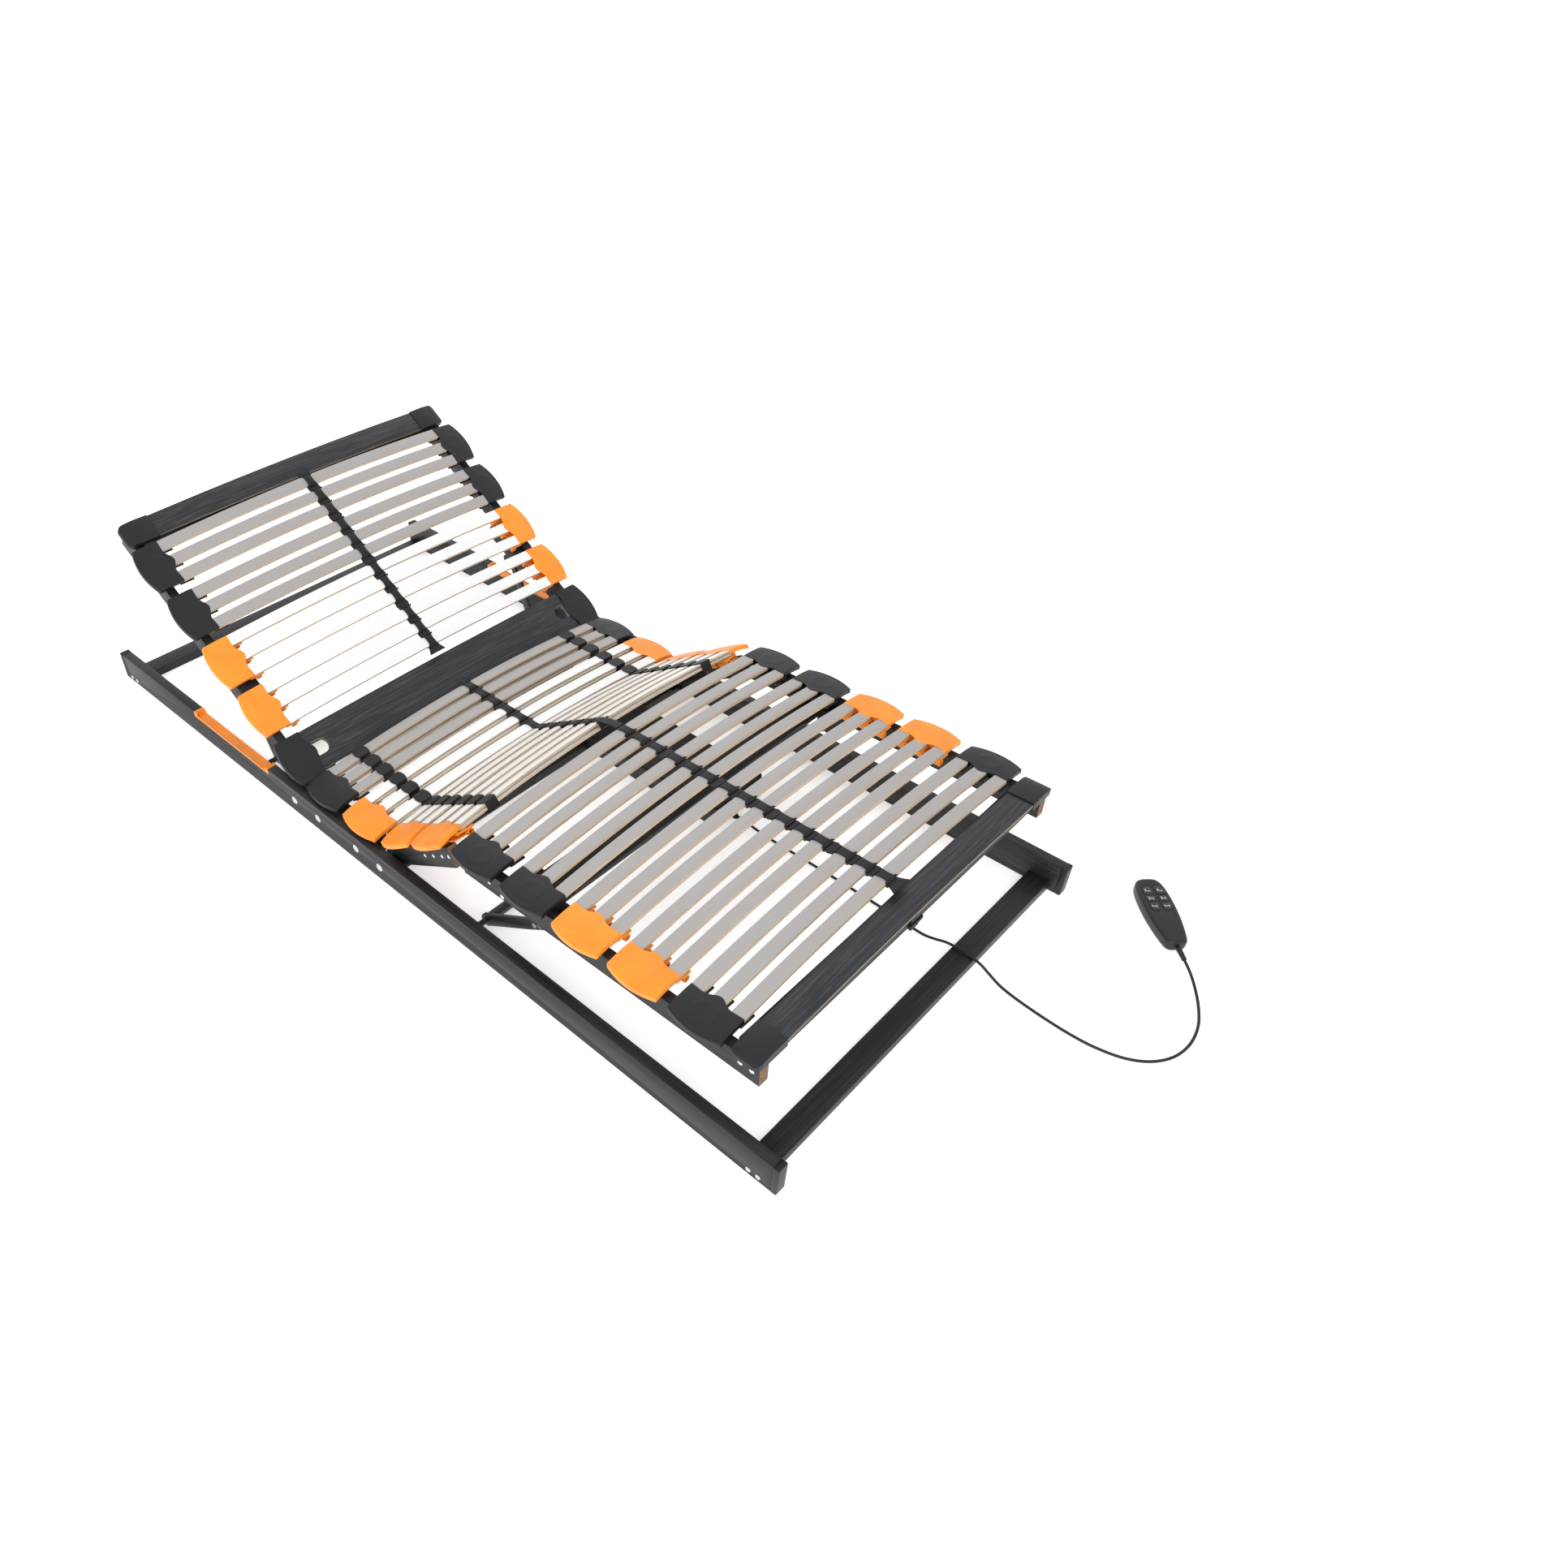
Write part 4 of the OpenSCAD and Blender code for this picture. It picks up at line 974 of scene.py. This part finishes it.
class BED_OT_straps(bpy.types.Operator):
    """Middle straps of the four sections and the two lengths that cross the joints"""
    bl_idname = "bed.straps"
    bl_label = "Straps"

    def execute(self, context):
        for node, (section, starts, top, begin, end) in STRAPS.items():
            rows = [start + row for start in starts for row in CAP_ROWS]
            strap = strap_band(node + "_moulded", rows, top, begin, end)
            strap.data.transform(SECTION[section])
            finished(strap, section, "strap_black", "strap", node, angle=40)
        level = TWIN_TOP + 0.0014
        seat_end = SECTION["base"] @ Vector((0, 0.0150, level))
        thigh_start = SECTION["thigh"] @ Vector((0, 0.0275, level))
        self.link("strap_seat_to_thigh", seat_end, thigh_start, "base", "thigh", 0.0)
        thigh_end = SECTION["thigh"] @ Vector((0, 0.2485, level))
        calf_start = SECTION["calf"] @ Vector((0, 0.0035, SLAT_TOP + 0.0014))
        self.link("strap_thigh_to_calf", thigh_end, calf_start, "thigh", "calf", 0.002)
        return {"FINISHED"}

    def link(self, name, a, b, body_a, body_b, hump):
        """Short length of strap between two sections"""
        bpy.ops.mesh.primitive_grid_add(x_subdivisions=4, y_subdivisions=14, size=1)
        obj = settled(bpy.context.object, name)

        def rule(p):
            t = p.y + 0.5
            at = a.lerp(b, t)
            return Vector((p.x * 0.0190, at.y, at.z + hump * math.sin(math.pi * t)))

        reshape(obj, rule)
        use_modifier(obj, "SOLIDIFY", thickness=0.0018, offset=0)
        soften(obj, 0.0005, 2, 50)
        obj.data.materials.append(MATERIALS["strap"])
        smooth(obj, 40)
        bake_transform(obj)


class BED_OT_sliders(bpy.types.Operator):
    """Firmness sliders: rounded sleeves round the double slats"""
    bl_idname = "bed.sliders"
    bl_label = "Sliders"

    def execute(self, context):
        stack = 2 * TWIN_THICK + TWIN_GAP
        high = stack + SLIDER_PLAY + SLIDER_DROP
        bpy.ops.mesh.primitive_cube_add(size=1, scale=(SLIDER_LONG, SLIDER_WIDE, high))
        sleeve = settled(context.object, "sleeve")
        to_mode("EDIT")
        pick(sleeve, lambda c, n: abs(n.x) > 0.9)
        bpy.ops.mesh.inset(thickness=0.0015, use_individual=True)
        bpy.ops.mesh.bridge_edge_loops()
        face_out()
        bpy.ops.mesh.select_all(action="SELECT")
        bpy.ops.mesh.subdivide(number_cuts=5)
        to_mode("OBJECT")

        def rule(p):
            bow = 1 - (p.y / (SLIDER_WIDE / 2)) ** 2
            return Vector((p.x * (0.80 + 0.20 * bow), p.y, p.z))

        reshape(sleeve, rule)
        soften(sleeve, 0.0013, 3, 50)
        for node, (section, side, starts) in SLIDERS.items():
            swing = Matrix.Translation((0, 0, SLAT_LOW + SLAT_RISE - BIG_R)) @ Matrix.Rotation(
                side * math.asin(SLIDER_X / BIG_R), 4, "Y") @ Matrix.Translation(
                (0, 0, BIG_R + (stack - SLIDER_DROP) / 2))
            spots = [spot @ swing for spot in slat_spots(section, starts)]
            group = copies(sleeve, node + "_moulded", spots, keep=True)
            finished(group, node, "black_plastic", "strap", node, angle=40)
        bpy.data.objects.remove(sleeve)
        return {"FINISHED"}


# ---- fittings, levers and drive

class BED_OT_fittings(bpy.types.Operator):
    """Bolts, rivets, hinge leaves, lever tubes, shoes, bearings and the drive"""
    bl_idname = "bed.fittings"
    bl_label = "Fittings and drive"

    def execute(self, context):
        for node in ("base_bolts", "thigh_rivets", "calf_screws"):
            self.bare(node, "steel")
        for node in ("thigh_hinge_leaves", "calf_hinge_leaves"):
            body = node.split("_")[0]
            refined(node, "_pressed", body, "black_steel", "black_steel", 0.0006, 2, 60)
        for node in ("back_lever", "leg_lever"):
            refined(node, "_welded", node, "black_steel", "black_steel", 0.0007, 2, 60)
        for node, body in (("back_lift_shoes", "back"), ("calf_lift_shoes", "calf"),
                           ("lever_bearings", "base"), ("rail_spacers", "base")):
            refined(node, "_moulded", body, "black_plastic", "black", 0.0007, 2, 60)
        self.lever_bolts()
        self.strap_clip()
        drive = softened_node("drive_housing", "drive_shell", 0.0016, 3, 50)
        finished(drive, "base", "drive_plastic", "drive", "drive_housing")
        return {"FINISHED"}

    def lever_bolts(self):
        """Two bright bolts on each arm of the leg lever, near its roller end"""
        heads = []
        for side in (-1, 1):
            for along in LEVER_BOLT_AT:
                y = -0.250 - along * math.cos(LEG_LEVER_ANGLE)
                z = 0.014 + along * math.sin(LEG_LEVER_ANGLE)
                heads.append(rod("head", (side * 0.3795, y, z), (side * 0.3832, y, z), 0.0052,
                                 24, 0.0011))
        finished(joined(heads, "lever_bolt_heads"), "leg_lever", "bright_steel", "steel")

    def strap_clip(self):
        """Clip that ties the strap's end to the foot cross rail"""
        parts = [block("clip", (-0.015, 0.6672, 0.006), (0.015, 0.6702, 0.037), 0.0009),
                 block("clip", (-0.011, 0.640, 0.0030), (0.011, 0.6702, 0.0062), 0.0009),
                 block("clip", (-0.018, 0.6680, 0.013), (0.018, 0.6730, 0.021), 0.0014)]
        clip = joined(parts, "strap_clip")
        clip.data.transform(SECTION["calf"])
        finished(clip, "calf", "strap_black", "strap")

    def bare(self, node, material):
        """A CAD node whose shape stays gets its finish"""
        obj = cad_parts[node]
        obj.data.materials.clear()
        obj.data.materials.append(MATERIALS[material])


# ---- handset

def hand_shell(name, levels, steps=3):
    """Stack of outlines drawn in by the given inset at each height, closed at both ends"""
    right = [Vector((w, a)) for a, w in HAND_SIDE]
    fine = []
    for k in range(len(right) - 1):
        a, b = right[max(k - 1, 0)], right[k]
        c, d = right[k + 1], right[min(k + 2, len(right) - 1)]
        for j in range(steps):
            fine.append(eased(a, b, c, d, j / steps))
    fine.append(right[-1])
    loop = fine + [Vector((-p.x, p.y)) for p in reversed(fine)]
    bpy.ops.mesh.primitive_circle_add(vertices=len(loop), radius=0.03, fill_type="NGON")
    obj = settled(bpy.context.object, name)

    def ring(inset, z):
        return [Vector((math.copysign(max(abs(p.x) - inset, 0.5), p.x) * MM,
                        p.y * (1 - inset / 81) * MM, z * MM)) for p in loop]

    for vert, place in zip(obj.data.vertices, ring(*levels[0])):
        vert.co = place
    to_mode("EDIT")
    bpy.ops.mesh.select_all(action="SELECT")
    for (inset_a, z_a), (inset_b, z_b) in zip(levels, levels[1:]):
        bpy.ops.mesh.extrude_region_move(
            TRANSFORM_OT_translate={"value": (0, 0, (z_b - z_a) * MM)})
        shape = bmesh.from_edit_mesh(obj.data)
        chosen = [v for v in shape.verts if v.select]
        old = ring(inset_a, z_b)
        new = ring(inset_b, z_b)
        for vert in chosen:
            k = min(range(len(old)), key=lambda i: (old[i] - vert.co).length_squared)
            vert.co = new[k]
        bmesh.update_edit_mesh(obj.data)
    face_out()
    to_mode("OBJECT")
    return obj


def button_outline(row, side, grow=0.0):
    """Corner places of a button: the top and bottom rows are drawn in at the outer corner"""
    centre_y, high = BUTTON_ROWS[row]
    w, h = BUTTON_WIDE / 2 + grow, high / 2 + grow
    draw = {0: (0.0045, 0.0), 1: (0.0, 0.0), 2: (0.0, 0.0045)}[row]
    outer = side
    corners = [(-outer * w, h), (outer * (w - draw[0]), h), (outer * w, h - draw[0] * 1.3),
               (outer * w, -h + draw[1] * 1.3), (outer * (w - draw[1]), -h), (-outer * w, -h)]
    kept = []
    for corner in corners:
        if not kept or (Vector(corner) - Vector(kept[-1])).length > 0.0002:
            kept.append(corner)
    return [Vector((side * BUTTON_X + x, centre_y + y, 0)) for x, y in kept]


def prism(name, outline, low, high, corner, soft):
    """Upright prism on an outline with rounded corners and edges"""
    bpy.ops.mesh.primitive_circle_add(vertices=len(outline), radius=0.01, fill_type="NGON")
    obj = settled(bpy.context.object, name)
    for vert, place in zip(obj.data.vertices, outline):
        vert.co = (place.x, place.y, low)
    to_mode("EDIT")
    bpy.ops.mesh.select_all(action="SELECT")
    bpy.ops.mesh.extrude_region_move(TRANSFORM_OT_translate={"value": (0, 0, high - low)})
    face_out()
    pick(obj, lambda a, b: abs(a.z - b.z) > 0.0005, "EDGE")
    bpy.ops.mesh.bevel(offset=corner, segments=5, affect="EDGES")
    to_mode("OBJECT")
    if soft:
        soften(obj, soft, 3, 50)
    return obj


# strokes (x0, y0, x1, y1) and head (x, y) of a figure, in millimetres
SITTING = (((-3.4, 1.2, 0.0, -2.2), (0.0, -2.2, 5.0, -2.2)), (-2.6, 2.4))
FOLDED = (((-3.6, 1.3, -1.0, -1.4), (-1.0, -1.4, 1.4, 0.4), (1.4, 0.4, 4.6, 0.4)), (-2.8, 2.5))
LYING = (((-4.2, -0.4, -0.4, -0.4), (-0.4, -0.4, 1.6, 1.1), (1.6, 1.1, 4.8, 1.1)), (-4.4, 1.3))
# each print: its figure, then marks (x, y, up or down), in millimetres
PICTURES = {
    "back_up": (SITTING, ((-3.9, -2.3, 1),)),
    "back_down": (SITTING, ((-3.9, -1.9, -1),)),
    "both_up": (FOLDED, ((-3.6, -2.8, 1), (3.6, -2.8, 1))),
    "both_down": (FOLDED, ((-3.6, -2.4, -1), (3.6, -2.4, -1))),
    "legs_up": (LYING, ((3.0, -2.2, 1),)),
    "legs_down": (LYING, ((3.0, -1.8, -1),)),
}


def picture(name, centre):
    """Raised white print: a lying figure and its arrow marks"""
    (strokes, head), marks = PICTURES[name]
    low, high = BUTTON_TOP - 0.00035, BUTTON_TOP - 0.00002
    parts = []
    for x0, y0, x1, y1 in strokes:
        a, b = Vector((x0, y0)) * MM, Vector((x1, y1)) * MM
        off = Vector((-(b - a).y, (b - a).x)).normalized() * 0.00052
        tip = (b - a).normalized() * 0.0003
        outline = [a - tip + off, a - tip - off, b + tip - off, b + tip + off]
        parts.append(prism("stroke", [centre + p.to_3d() for p in outline], low, high, 0.0003, 0))
    ring = [centre + Vector((head[0] * MM + 0.0010 * math.cos(k * math.pi / 8),
                             head[1] * MM + 0.0010 * math.sin(k * math.pi / 8), 0))
            for k in range(16)]
    parts.append(prism("head", ring, low, high, 0.00003, 0))
    for x, y, way in marks:
        tri = [Vector((x - 1.15, y - way * 0.75, 0)), Vector((x + 1.15, y - way * 0.75, 0)),
               Vector((x, y + way * 0.95, 0))]
        parts.append(prism("mark", [centre + p * MM for p in tri], low, high, 0.00012, 0))
    return joined(parts, "print_" + name)


class BED_OT_handset(bpy.types.Operator):
    """Handset shells, six buttons and their print"""
    bl_idname = "bed.handset"
    bl_label = "Handset"

    def execute(self, context):
        lower = hand_shell("handset_under_shell", (
            (8.0, 0.0), (4.6, 0.25), (2.6, 1.0), (1.2, 2.4), (0.45, 4.4), (0.1, 7.0), (0.0, 10.0),
            (0.0, 12.75), (0.35, 12.9)))
        lower.data.transform(HAND_AT)
        finished(lower, "base", "handset_plastic", "handset", "handset_lower", angle=50)
        upper = hand_shell("handset_top_shell", (
            (0.35, 12.9), (0.0, 13.1), (0.0, 16.5), (0.2, 19.0), (0.8, 21.0), (1.9, 22.8),
            (3.6, 24.1), (5.8, 24.8), (8.2, 25.0)))
        for _, row, side in BUTTONS:
            cutter = prism("cutter", button_outline(row, side, 0.00045), 0.0182, 0.0300, 0.0018, 0)
            use_modifier(upper, "BOOLEAN", operation="DIFFERENCE", solver="EXACT", object=cutter)
            bpy.data.objects.remove(cutter)
        soften(upper, 0.00025, 2, 60)
        upper.data.transform(HAND_AT)
        finished(upper, "base", "handset_plastic", "handset", "handset_upper", angle=40)
        for node, row, side in BUTTONS:
            key = prism(node + "_key", button_outline(row, side), 0.0197, BUTTON_TOP - 0.00012,
                        0.0016, 0.0006)
            key.data.materials.append(MATERIALS["button"])
            centre = Vector((side * BUTTON_X, BUTTON_ROWS[row][0], 0))
            mark = picture(node.replace("button_", ""), centre)
            mark.data.materials.append(MATERIALS["print"])
            key = joined([key, mark], node + "_key")
            key.data.transform(HAND_AT)
            finished(key, node, "button_black", None, node)
        return {"FINISHED"}


class BED_PT_panel(bpy.types.Panel):
    """Lists what builds the bed base"""
    bl_label = "Bed base"
    bl_idname = "BED_PT_panel"
    bl_space_type = "VIEW_3D"
    bl_region_type = "UI"
    bl_category = "Bed base"

    def draw(self, context):
        for settings in (context.scene.bed_finish, context.scene.bed_shape):
            for key in settings.bl_rna.properties.keys():
                if key not in ("rna_type", "name"):
                    self.layout.prop(settings, key)
        for operator in OPERATORS:
            self.layout.operator(operator.bl_idname)


OPERATORS = (BED_OT_stage, BED_OT_cable, BED_OT_rails, BED_OT_boards, BED_OT_slats,
             BED_OT_holders, BED_OT_straps, BED_OT_sliders, BED_OT_fittings, BED_OT_handset)
CLASSES = (BedFinishSettings, BedShapeSettings, *OPERATORS, BED_PT_panel)


def register():
    for cls in CLASSES:
        bpy.utils.register_class(cls)
    bpy.types.Scene.bed_finish = bpy.props.PointerProperty(type=BedFinishSettings)
    bpy.types.Scene.bed_shape = bpy.props.PointerProperty(type=BedShapeSettings)


def unregister():
    del bpy.types.Scene.bed_shape
    del bpy.types.Scene.bed_finish
    for cls in reversed(CLASSES):
        bpy.utils.unregister_class(cls)


def main():
    register()
    make_materials()
    for operator in OPERATORS:
        group, name = operator.bl_idname.split(".")
        getattr(getattr(bpy.ops, group), name)()


if __name__ == "__main__":
    main()
